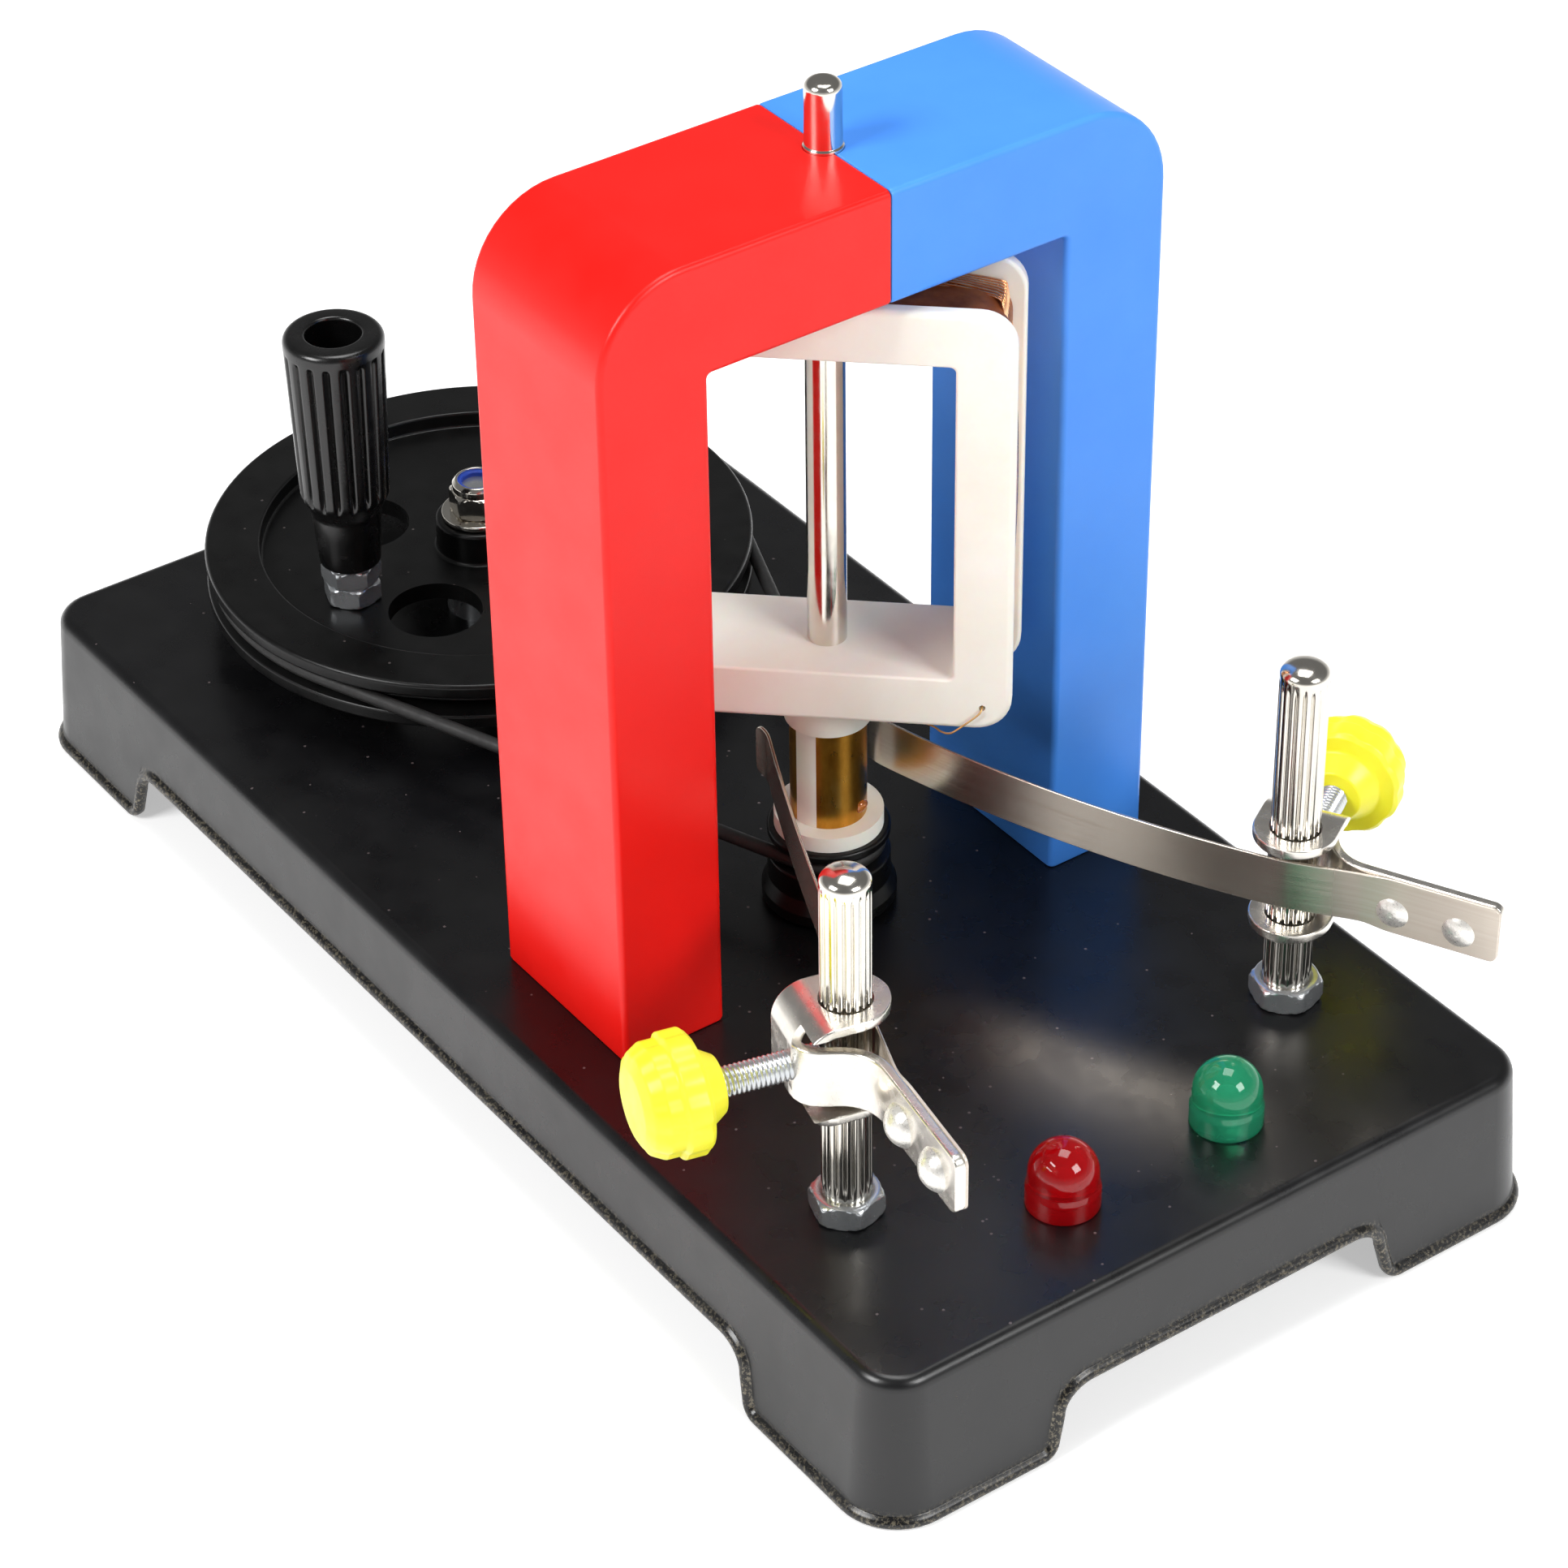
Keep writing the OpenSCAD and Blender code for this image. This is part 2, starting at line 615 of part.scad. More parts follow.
module drive_pulley() color(black) at_pulley() rotate([0, 0, crank_turn]) difference() {
    union() {
        translate([0, 0, rim_z]) tube(rim_h, pulley_d/2, pulley_d/2 - rim_w);
        translate([0, 0, web_z]) cylinder(h = web_t, r = pulley_d/2 - rim_w + 1);
        translate([0, 0, rim_z]) cylinder(h = hub_top - rim_z, d = hub_d);
    }
    groove(pulley_d/2, belt_big_r - belt_d/2 - near);
    translate([0, 0, rim_z - 1]) cylinder(h = 30, r = bolt_d/2 + fit);
    for (a = [35:90:305]) rotate([0, 0, a]) translate([web_hole_r, 0, web_z - 1])
        cylinder(h = web_t + 2, d = web_hole_d);
    translate([handle_reach, 0, web_z - 1]) cylinder(h = web_t + 2, d = bolt_d);
}

module pulley_bolt() color(zinc) at_pulley() {
    translate([0, 0, under - eps]) cylinder(h = nut_z + nut_h - 1 - under, d = bolt_d);
    translate([0, 0, under - 3]) cylinder(h = 3, d = nut_af/cos(30), $fn = 6);
}

module pulley_spacer() color(zinc) at_pulley() translate([0, 0, deck])
    tube(rim_z - end_play - deck, hub_d/2 - 1, bolt_d/2);

module pulley_washer() color(nickel) at_pulley() translate([0, 0, washer_z])
    tube(washer_t, nut_af/2 + 1.6, bolt_d/2);

module pulley_nut() color(nickel) at_pulley() translate([0, 0, nut_z]) difference() {
    union() {
        hex_nut(nut_af, nut_h - 1.6, bolt_d/2);
        translate([0, 0, nut_h - 1.61]) cylinder(h = 1.61, d = nut_af - 0.2);
    }
    translate([0, 0, -1]) cylinder(h = nut_h + 2, d = bolt_d);
    translate([0, 0, nut_h - 1.4]) cylinder(h = 1.1, d = nut_af - 1.4);
    translate([0, 0, nut_h - 0.5]) cylinder(h = 1, d = nut_af - 2);
}

module pulley_nut_insert() color([0.15, 0.35, 0.85]) at_pulley()
    translate([0, 0, nut_z + nut_h - 1.4]) tube(1.0, nut_af/2 - 0.7, bolt_d/2);

module at_handle() translate([handle_at[0], handle_at[1], 0]) children();

module handle_screw() color(zinc) at_handle() {
    translate([0, 0, web_z]) cylinder(h = grip_floor + end_play - web_z + eps, d = bolt_d);
    translate([0, 0, grip_floor + end_play]) difference() {
        cylinder(h = 2.6, d = grip_bore_d - 0.8);
        for (a = [0, 90]) rotate([0, 0, a]) translate([-2, -0.45, 1.2]) cube([4, 0.9, 2]);
    }
}

module handle_nut(i) color(nickel) at_handle() rotate([0, 0, 12 + 18*i])
    translate([0, 0, web_top + i*handle_nut_h]) hex_nut(nut_af + 0.2, handle_nut_h, bolt_d/2);

module handle_grip() color(black) at_handle() translate([0, 0, handle_z]) {
    flute_top = grip_h - 1.9;
    flare = neck_h + 5.4;                // where the flutes start
    lean = atan((grip_d - grip_low_d)/2/(flute_top - flare));
    difference() {
        union() {
            cylinder(h = neck_h + eps, d1 = neck_d, d2 = neck_d + 0.6);
            translate([0, 0, neck_h]) cylinder(h = flare - neck_h + eps,
                d1 = neck_d + 0.6, d2 = grip_low_d);
            translate([0, 0, flare]) cylinder(h = flute_top - flare + eps,
                d1 = grip_low_d, d2 = grip_d);
            translate([0, 0, flute_top]) cylinder(h = 0.9 + eps, d = grip_d);
            translate([0, 0, flute_top + 0.9]) cylinder(h = 1, d1 = grip_d, d2 = grip_d - 1.8);
        }
        translate([0, 0, -1]) cylinder(h = grip_h + 2, r = bolt_d/2 + fit);
        translate([0, 0, grip_floor - handle_z]) cylinder(h = grip_h, d = grip_bore_d);
        for (a = [0:360/grip_flutes:359]) rotate([0, 0, a + 6])
            translate([grip_low_d/2 + 0.25, 0, flare - 1.2]) rotate([0, lean, 0])
                cylinder(h = flute_top - flare + 1.2, r = 0.62, $fn = 16);
    }
}

// The belt is one closed loop on the fixed body, clear of both grooves while the pulleys turn.
belt_lean = asin((belt_big_r - belt_small_r)/belt_span);
belt_ring = 12;
belt_plan = concat(
    [for (a = [90 - belt_lean:(180 + 2*belt_lean)/36:270 + belt_lean + 0.01])
        [pulley_x, rotor_y, a, belt_big_r]],
    [for (a = [belt_lean - 90:(180 - 2*belt_lean)/12:90 - belt_lean + 0.01])
        [rotor_x, rotor_y, a, belt_small_r]]);
module drive_belt() color([0.10, 0.10, 0.10]) {
    m = len(belt_plan);
    n = belt_ring;
    polyhedron(points = [for (p = belt_plan) for (k = [0:n - 1])
            let (r = p[3] + belt_d/2*cos(360*k/n))
            [p[0] + r*cos(p[2]), p[1] + r*sin(p[2]), belt_z + belt_d/2*sin(360*k/n)]],
        faces = [for (i = [0:m - 1]) for (k = [0:n - 1]) for (half = [0, 1])
            let (i2 = (i + 1) % m, k2 = (k + 1) % n)
            half == 0 ? [i*n + k, i*n + k2, i2*n + k2] : [i*n + k, i2*n + k2, i2*n + k]]);
}

// ---------- posts ----------

module at_post(s) translate([post_x, s*post_y, 0]) children();

module post(s) color(nickel) at_post(s) {
    r = post_d/2;
    tip = 1.6;
    difference() {
        translate([0, 0, deck]) domed(post_h, r, tip);
        for (a = [0:360/post_flutes:359]) rotate([0, 0, a])
            translate([r - 0.3, -0.22, deck + post_nut_h + 2])
                cube([1, 0.44, post_h - post_nut_h - tip - 3]);
    }
    translate([0, 0, under - 8]) cylinder(h = 8 + sheet + eps, d = post_d - 1);
}

module post_nut(s) color(nickel) at_post(s) translate([0, 0, deck])
    hex_nut(post_nut_af, post_nut_h, post_d/2);

module post_washer(s) color(zinc) at_post(s) translate([0, 0, under - 1])
    tube(1, post_d/2 + 2.2, post_d/2 - 0.5);

module post_locknut(s) color(zinc) at_post(s) translate([0, 0, under - 1])
    mirror([0, 0, 1]) hex_nut(post_nut_af, 4, post_d/2 - 0.5);

// ---------- brush clamps ----------

function side_i(s) = s < 0 ? 0 : 1;
function clamp_z(s) = deck + clamp_up[side_i(s)];

// frame of a clamp: the right one mirrors the left one
module at_clamp(s) translate([post_x, s*post_y, clamp_z(s)]) mirror([0, s < 0 ? 0 : 1, 0])
    rotate([0, 0, -clamp_turn[side_i(s)]]) children();

// plan of the arm's middle line: off the back, past the post, and along the leaf
sweep = 70;
bend_in = 3.2;
bend_out = 6;
fold_r = 4.4;                        // outer radius where an ear bends into the back

bend_end = [0.5 + bend_in*sin(sweep), back_y + bend_in*(1 - cos(sweep))];
turn_out = bend_out*[sin(sweep) - sin(arm_lean), cos(arm_lean) - cos(sweep)];
climb = (arm_y - bend_end[1] - turn_out[1] - (arm_l - bend_end[0] - turn_out[0])*tan(arm_lean))
    /(sin(sweep) - cos(sweep)*tan(arm_lean));
climb_end = bend_end + climb*[cos(sweep), sin(sweep)];
arm_path = concat([[-1, back_y], [0.5, back_y]],
    [for (a = [14:14:sweep]) [0.5 + bend_in*sin(a), back_y + bend_in*(1 - cos(a))]],
    [for (i = [0:5]) let (a = sweep + (arm_lean - sweep)*i/5) climb_end
        + bend_out*[sin(sweep) - sin(a), cos(a) - cos(sweep)]],
    [[arm_l, arm_y]]);
function arm_at(x) = [x, arm_y - (arm_l - x)*tan(arm_lean)];
module on_arm(x) translate(concat(arm_at(x), [-rivet_drop])) rotate([90, 0, arm_lean]) children();

// strip of thickness t along a plan path
function normal_at(p, i) = let (t = unit(p[min(i + 1, len(p) - 1)] - p[max(i - 1, 0)]))
    [-t[1], t[0]];
module strip2d(p, t) polygon(concat(
    [for (i = [0:len(p) - 1]) p[i] + t/2*normal_at(p, i)],
    [for (i = [len(p) - 1:-1:0]) p[i] - t/2*normal_at(p, i)]));

module clamp(s) color(nickel) at_clamp(s) difference() {
    union() {
        translate([0, 0, -s*ear_shift]) intersection() {
            rotate([90, 0, 90]) linear_extrude(4*ear_r, center = true) difference() {
                translate([10 - clamp_back, 0]) plate2d(20, clamp_h, fold_r);
                translate([10 - clamp_back + clamp_t, 0])
                    plate2d(20, clamp_h - 2*clamp_t, fold_r - clamp_t);
            }
            difference() {
                linear_extrude(2*clamp_h, center = true) union() {
                    circle(r = ear_r);
                    translate([-ear_r, -clamp_back]) square([2*ear_r, clamp_back]);
                }
                translate([1.2, -clamp_back - 1, clamp_t - clamp_h/2])
                    cube([2*ear_r, 2*clamp_back, clamp_h - 2*clamp_t]);
            }
        }
        linear_extrude(arm_h, center = true) strip2d(arm_path, clamp_t);
    }
    cylinder(h = 2*clamp_h, r = post_d/2 + 0.2, center = true);
    rotate([90, 0, 0]) cylinder(h = clamp_back + 1, r = rod_r + fit);
    for (x = rivet_at) on_arm(x)
        cylinder(h = 2*clamp_t, r = rivet_shank, center = true, $fn = 24);
}

// Plan of a leaf: straight on its arm, then one arc to a point beside the commutator,
// and a short flare away from it. The chord and the first heading fix the arc.
function leaf_path(s) =
    let (a = clamp_turn[side_i(s)], k = leaf_kink[side_i(s)],
        e = [rotor_x - 1 - post_x, post_y - comm_r - brush_gap - s*rotor_y],
        c = [e[0]*cos(a) - e[1]*sin(a), e[0]*sin(a) + e[1]*cos(a) - leaf_y],
        lift = atan2(c[1], -c[0]), half = abs(lift - k) < 0.05 ? 0.05 : lift - k,
        rad = norm(c)/2/sin(half),
        arc = [for (i = [0:16]) let (t = half*i/16)
            [-2*rad*sin(t)*cos(k + t), leaf_y + 2*rad*sin(t)*sin(k + t)]],
        end = k + 2*half)
    concat([for (x = [arm_l - 0.3, rivet_at[0] - 4]) arm_at(x)
            + (clamp_t + leaf_t)/2*[-sin(arm_lean), cos(arm_lean)]], arc,
        [for (i = [1:4]) arc[16] + 3.6*[
            -sin(12*i)*cos(end) - (1 - cos(12*i))*sin(end),
            sin(12*i)*sin(end) - (1 - cos(12*i))*cos(end)]]);

module brush_leaf(s) color(nickel) at_clamp(s) difference() {
    linear_extrude(leaf_h, center = true) strip2d(leaf_path(s), leaf_t);
    for (x = rivet_at) on_arm(x) translate([0, 0, -(clamp_t + leaf_t)/2])
        cylinder(h = 4*leaf_t, r = rivet_shank, center = true, $fn = 24);
}

module rivet(s, i) color(nickel) at_clamp(s) on_arm(rivet_at[i]) {
    low = -clamp_t/2 - leaf_t;
    high = clamp_t/2;
    head = [[high, rivet_d, 1.8], [low, rivet_tail, 0.7]];    // on the arm, and on the leaf
    translate([0, 0, low - eps]) cylinder(h = high - low + 2*eps, r = rivet_shank, $fn = 24);
    for (m = [0, 1]) let (d = head[m][1], h = head[m][2], ball = (pow(d/2, 2) + h*h)/2/h)
        translate([0, 0, head[m][0]]) mirror([0, 0, m]) intersection() {
            translate([0, 0, h - ball]) sphere(r = ball);
            cylinder(h = h + 1, d = d);
        }
}

module thumb_rod(s) color(zinc) at_clamp(s) rotate([90, 0, 0])
    translate([0, 0, post_d/2 + near]) cylinder(h = knob_out + 6 - post_d/2 - near, r = rod_r);

module thumb_knob(s) color(yellow) at_clamp(s) rotate([90, 0, 0]) translate([0, 0, knob_out])
    difference() {
        union() {
            cylinder(h = 2.8, d1 = knob_d*0.46, d2 = knob_d*0.68);
            translate([0, 0, 2.8]) cylinder(h = 3.4, d = knob_d);
            translate([0, 0, 6.2]) cylinder(h = 2, d = knob_d - 1.2);
            translate([0, 0, 8.2 - eps]) cylinder(h = 1.6, d1 = knob_d - 1.2, d2 = knob_d - 3);
            translate([0, 0, 9.8 - 2*eps]) cylinder(h = 0.9, d1 = knob_d - 3, d2 = knob_d - 6.4);
        }
        translate([0, 0, -1]) cylinder(h = 7, r = rod_r + fit);
    }

// ---------- lamps ----------

module lamp(s) translate([lamp_x, s*lamp_y, 0]) {
    translate([0, 0, under - 2]) cylinder(h = sheet + 2 + eps, d = lamp_d - 2);
    translate([0, 0, deck]) cylinder(h = 3.5, d = lamp_d + 0.5);
    translate([0, 0, deck + eps]) cylinder(h = lamp_h - lamp_d/2 - eps, d = lamp_d);
    translate([0, 0, deck + lamp_h - lamp_d/2]) intersection() {
        sphere(d = lamp_d);
        cylinder(h = lamp_d, d = lamp_d + 1);
    }
}

base_tray();
magnet_red();
magnet_blue();
magnet_screw(-1);  // magnet_screw_red
magnet_screw(1);  // magnet_screw_blue
rotor_bearing();
rotor_shaft();
coil_former();
coil_core();
coil_winding();
coil_lead(1);  // coil_lead_a
coil_lead(-1);  // coil_lead_b
commutator_body();
commutator_bar(1);  // commutator_bar_a
commutator_bar(-1);  // commutator_bar_b
rotor_pulley();
drive_pulley();
pulley_bolt();
pulley_spacer();
pulley_washer();
pulley_nut();
pulley_nut_insert();
handle_screw();
handle_nut(0);  // handle_nut_lower
handle_nut(1);  // handle_nut_upper
handle_grip();
drive_belt();
post(-1);  // post_left
post(1);  // post_right
post_nut(-1);  // post_nut_left
post_nut(1);  // post_nut_right
post_washer(-1);  // post_washer_left
post_washer(1);  // post_washer_right
post_locknut(-1);  // post_locknut_left
post_locknut(1);  // post_locknut_right
clamp(-1);  // clamp_left
clamp(1);  // clamp_right
brush_leaf(-1);  // brush_leaf_left
brush_leaf(1);  // brush_leaf_right
rivet(-1, 0);  // rivet_left_inner
rivet(-1, 1);  // rivet_left_outer
rivet(1, 0);  // rivet_right_inner
rivet(1, 1);  // rivet_right_outer
thumb_rod(-1);  // thumb_rod_left
thumb_rod(1);  // thumb_rod_right
thumb_knob(-1);  // thumb_knob_left
thumb_knob(1);  // thumb_knob_right
color([0.75, 0.02, 0.06]) lamp(-1);  // lamp_red
color([0.05, 0.45, 0.22]) lamp(1);  // lamp_green
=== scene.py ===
"""Demonstration electric motor: the visible pieces, their finishes, the studio and the camera.

Sizes are in millimetres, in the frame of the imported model, and become metres in the meshes.
"""
import math

import bmesh
import bpy
import numpy as np
from mathutils import Matrix, Vector


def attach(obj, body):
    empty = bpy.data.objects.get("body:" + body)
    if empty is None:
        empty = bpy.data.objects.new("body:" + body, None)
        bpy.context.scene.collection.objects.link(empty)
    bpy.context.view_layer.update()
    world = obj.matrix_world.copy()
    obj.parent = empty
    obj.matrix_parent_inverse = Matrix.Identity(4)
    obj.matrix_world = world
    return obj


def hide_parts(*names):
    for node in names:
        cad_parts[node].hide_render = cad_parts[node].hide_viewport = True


MM = 0.001
TAU = 2*math.pi

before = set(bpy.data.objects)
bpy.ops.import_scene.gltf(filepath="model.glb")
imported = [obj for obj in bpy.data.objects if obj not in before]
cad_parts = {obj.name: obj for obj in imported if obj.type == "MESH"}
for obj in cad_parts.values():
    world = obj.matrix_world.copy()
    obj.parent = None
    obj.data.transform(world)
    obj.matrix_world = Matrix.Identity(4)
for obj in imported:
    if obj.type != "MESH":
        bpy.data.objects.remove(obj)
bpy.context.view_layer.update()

# ---------- places and sizes, as in the part's source ----------

# Top and underside of the tray's plate.
DECK, UNDER = 21.6, 20.6
# Upright axes of the rotor, of the crank wheel, and of the grip that stands on the wheel.
ROTOR = np.array([19.6, 0.5])
PULLEY = np.array([-63.6, 0.5])
CRANK_TURN, CRANK_REACH = math.radians(-88), 21.2
HANDLE = PULLEY + CRANK_REACH*np.array([math.cos(CRANK_TURN), math.sin(CRANK_TURN)])
# The coil's turn about the rotor's axis, and the height of its middle.
ROTOR_TURN, COIL_Z = math.radians(-42.5), 84.7
# The belt's height, and its radius on the crank wheel and on the small one.
BELT_Z, BELT_BIG, BELT_SMALL = 30.5, 36.8, 6.5
# Posts and lamps stand at both sides of the middle line.
POST_X, POST_Y = 71.0, 34.3
LAMP_X, LAMP_Y = 85.3, 12.7
SIDES = {"left": -1, "right": 1}
# Each clamp's height, and its turn about its post.
CLAMP_Z = {"left": 46.3, "right": 41.7}
CLAMP_TURN = {"left": math.radians(14), "right": math.radians(31)}
# A clamp's arm in its own frame: length, place across, thickness, lean.
ARM_L, ARM_Y, ARM_T, ARM_LEAN = 27.6, 2.65, 1.3, math.radians(4)
# A brush leaf: where its bend starts, its thickness, and the angle it is bent off the arm.
LEAF_Y, LEAF_T = 3.5, 0.4
KINK = {"left": math.radians(6), "right": 0.0}


# ---------- shapes: grids of points worked out as whole arrays ----------

def unit(v):
    """Each row of v divided by its length."""
    return v/np.maximum(np.linalg.norm(v, axis=-1, keepdims=True), 1e-12)


def sweep(start, end, n):
    """Angles in radians, from start to end degrees."""
    return np.radians(np.linspace(start, end, n))


def lengths(path):
    """How far along the path each of its points lies."""
    return np.concatenate([[0], np.cumsum(np.linalg.norm(np.diff(path, axis=0), axis=1))])


def along_path(path, places):
    """The points of a flat path that lie at the given places along it."""
    own = lengths(path)
    return np.stack([np.interp(places, own, path[:, k]) for k in (0, 1)], -1)


def rounded(points, radii, steps=6, closed=False):
    """A polyline with its corners turned into circular arcs. An arc is the rational quadratic
    curve from the tangent point before the corner to the one after it, and the corner's
    weight is the sine of half the inner angle."""
    p = np.asarray(points, float)
    r = np.broadcast_to(np.asarray(radii, float), len(p)).copy()
    if not closed:
        r[[0, -1]] = 0
    back, ahead = unit(np.roll(p, 1, 0) - p), unit(np.roll(p, -1, 0) - p)
    half = np.clip(np.arccos(np.clip((back*ahead).sum(1), -1, 1))/2, 1e-3, None)
    reach = (r/np.tan(half))[:, None, None]
    w = np.sin(half)[:, None, None]
    t = np.linspace(0, 1, steps)[None, :, None]
    a, b = p[:, None] + back[:, None]*reach, p[:, None] + ahead[:, None]*reach
    arc = ((1 - t)**2*a + 2*w*t*(1 - t)*p[:, None] + t**2*b) \
        / ((1 - t)**2 + 2*w*t*(1 - t) + t**2)
    out = arc.reshape(-1, p.shape[1])
    keep = np.linalg.norm(out - np.roll(out, 1, 0), axis=1) > 1e-6
    keep[0] = keep[0] or not closed
    return out[keep]


def through(points, per=8):
    """A smooth curve through the points: between two of them, the Catmull-Rom cubic whose
    slopes are half the step from the point before to the point after."""
    p = np.asarray(points, float)
    p = np.vstack([2*p[0] - p[1], p, 2*p[-1] - p[-2]])
    a, b, c, d = p[:-3, None], p[1:-2, None], p[2:-1, None], p[3:, None]
    t = (np.arange(per)/per)[None, :, None]
    q = 0.5*(2*b + (c - a)*t + (2*a - 5*b + 4*c - d)*t**2 + (3*b - a - 3*c + d)*t**3)
    return np.vstack([q.reshape(-1, p.shape[1]), p[-2]])


def shell(rows, along=False, lay=None):
    """A closed skin over a grid of rings: rows[i, j] joins its neighbours along i and around j.
    Flat faces close the first and the last ring, unless the rings run round to the first. The
    skin is turned outwards where the sign of its volume says that it isn't."""
    rows = np.asarray(rows, float)
    m, n = rows.shape[:2]
    i = np.arange(m*n).reshape(m, n)
    here = i if along else i[:-1]
    there = np.roll(i, -1, 0) if along else i[1:]
    quads = np.stack([here, np.roll(here, -1, 1), np.roll(there, -1, 1), there],
                     -1).reshape(-1, 4)
    ends = [] if along else [i[0][::-1], i[-1]]
    v = rows.reshape(-1, 3)
    tri = np.vstack([quads[:, [0, 1, 2]], quads[:, [0, 2, 3]]]
                    + [np.stack([np.full(n - 2, e[0]), e[1:-1], e[2:]], -1) for e in ends])
    a, b, c = v[tri[:, 0]], v[tri[:, 1]], v[tri[:, 2]]
    if (a*np.cross(b, c)).sum() < 0:
        quads, ends = quads[:, ::-1], [e[::-1] for e in ends]
    return v, quads.tolist() + [e.tolist() for e in ends], \
        None if lay is None else np.asarray(lay, float).reshape(-1, 3)


def rings(radii, heights, centre=(0, 0)):
    """Rings about an upright axis, one for each row of radii: a radius r at the angle a goes
    to (r cos a, r sin a), at the row's height."""
    n = radii.shape[1]
    a = np.arange(n)/n*TAU
    return np.stack([centre[0] + radii*np.cos(a), centre[1] + radii*np.sin(a),
                     np.repeat(np.asarray(heights, float)[:, None], n, 1)], -1)


def lathe(profile, centre=(0, 0), sides=72, along=False):
    """A solid of revolution of a profile of (radius, height)."""
    p = np.asarray(profile, float)
    r = np.repeat(np.maximum(p[:, :1], 0.02), sides, 1)
    return shell(rings(r, p[:, 1], centre), along)


def hoop(profile, radii, steps, centre, sides=72):
    """A revolved ring with an open middle, the corners of its section rounded."""
    return lathe(rounded(profile, radii, steps, closed=True), centre, sides, along=True)


def dips(count, power, n):
    """A ring of dips at n angles: the raised cosine of count times the angle, to a power."""
    return (0.5 + 0.5*np.cos(count*np.arange(n)/n*TAU))**power


def fading(z, start, rise, end, fall):
    """0 to 1 over the rise after the start, and back over the fall before the end: the
    square root of the way up times the way down."""
    return (np.clip((z - start)/rise, 0, 1)*np.clip((end - z)/fall, 0, 1))**0.5


def tube(path, radius, sides=10, ref=(0.3, -0.5, 0.8), closed=False):
    """A round tube: each ring is the path's point plus the radius times cos of the angle
    along the cross product of tangent and ref, and sin along the third direction."""
    p = np.asarray(path, float)
    ahead = np.roll(p, -1, 0) - np.roll(p, 1, 0) if closed else np.gradient(p, axis=0)
    t = unit(ahead)
    a = unit(np.cross(t, np.broadcast_to(np.asarray(ref, float), t.shape)))
    b = np.cross(t, a)
    ang = (np.arange(sides)/sides*TAU)[None, :, None]
    return shell(p[:, None] + radius*(np.cos(ang)*a[:, None] + np.sin(ang)*b[:, None]), closed)


def turned(points, angle, centre):
    """The points turned about the upright axis, then moved to the centre."""
    p = np.asarray(points, float)
    c, s = math.cos(angle), math.sin(angle)
    return np.stack([centre[0] + c*p[..., 0] - s*p[..., 1],
                     centre[1] + s*p[..., 0] + c*p[..., 1], p[..., 2]], -1)


def box_ring(half_w, half_h, r, steps=8):
    """Outline of a rounded rectangle as (x, y), the same count of points for any size."""
    a = np.radians(np.arange(4)[:, None]*90 + np.linspace(0, 90, steps)[None, :])
    sx, sy = np.array([1, -1, -1, 1])[:, None], np.array([1, 1, -1, -1])[:, None]
    half_w, half_h, r = [np.asarray(k, float)[..., None, None] for k in (half_w, half_h, r)]
    x = sx*(half_w - r) + r*np.cos(a)
    y = sy*(half_h - r) + r*np.sin(a)
    return np.stack([x, y], -1).reshape(x.shape[:-2] + (-1, 2))


def bent(path, width=5.0, step=0.2):
    """The path with its kinks eased: a mean over the width, weighted by a raised cosine."""
    q = along_path(path, np.arange(0, lengths(path)[-1], step))
    n = int(width/step/2)
    q = np.vstack([2*q[0] - q[n:0:-1], q, 2*q[-1] - q[-2:-n - 2:-1]])
    weight = np.hanning(2*n + 3)[1:-1]
    return np.stack([np.convolve(q[:, k], weight/weight.sum(), "valid") for k in (0, 1)], -1)


def paced(path, step, r):
    """The path at even steps, finer within r of its ends, with the places of its points, and
    how much lower a strip is there whose end corners are quarter circles of radius r."""
    whole, least = lengths(path)[-1], 0.004
    near = r*(1 - np.cos(sweep(0, 90, 8)))
    s = np.concatenate([near, np.arange(r, whole - r, step), whole - near])
    s = np.unique(np.round(s, 4))
    s = s[np.concatenate([[True], np.diff(s) > least])]
    to_end = np.clip(np.minimum(s, whole - s), 0, r)
    drop = r - np.sqrt(np.maximum(r*r - (r - to_end)**2, 0))
    return along_path(path, s), s, drop


def strip(path, tall, thick, r=0.12):
    """A strip on edge along a plan path: its section is a rounded rectangle of half sizes
    thick, along the path's normal, and tall, upwards. Gives its grid of points."""
    along = unit(np.gradient(path, lengths(path), axis=0))
    across = np.stack([-along[:, 1], along[:, 0]], -1)
    tall = np.maximum(np.broadcast_to(tall, len(path)), r + 0.01)
    ring = box_ring(np.full(len(path), thick), tall, r, 4)
    return np.concatenate([path[:, None] + across[:, None]*ring[..., :1], ring[..., 1:]], -1)


# ---------- putting a mesh into the scene ----------

def mesh_from(name, shells):
    """One mesh of several skins, in metres."""
    mesh = bpy.data.meshes.new(name)
    start = np.cumsum([0] + [len(s[0]) for s in shells])
    mesh.from_pydata(np.vstack([s[0] for s in shells])*MM, [],
                     [[k + int(o) for k in f] for s, o in zip(shells, start) for f in s[1]])
    if shells[0][2] is not None:
        layer = mesh.attributes.new("lay", "FLOAT_VECTOR", "POINT")
        layer.data.foreach_set("vector", np.vstack([s[2] for s in shells]).ravel())
    mesh.update()
    return mesh


def placed(name, data):
    """A new object in the scene."""
    obj = bpy.data.objects.new(name, data)
    bpy.context.scene.collection.objects.link(obj)
    return obj


def smooth(obj, sharp):
    """Smooth shading, but for edges over the sharp angle."""
    obj.data.shade_smooth()
    obj.data.set_sharp_from_angle(angle=math.radians(sharp))


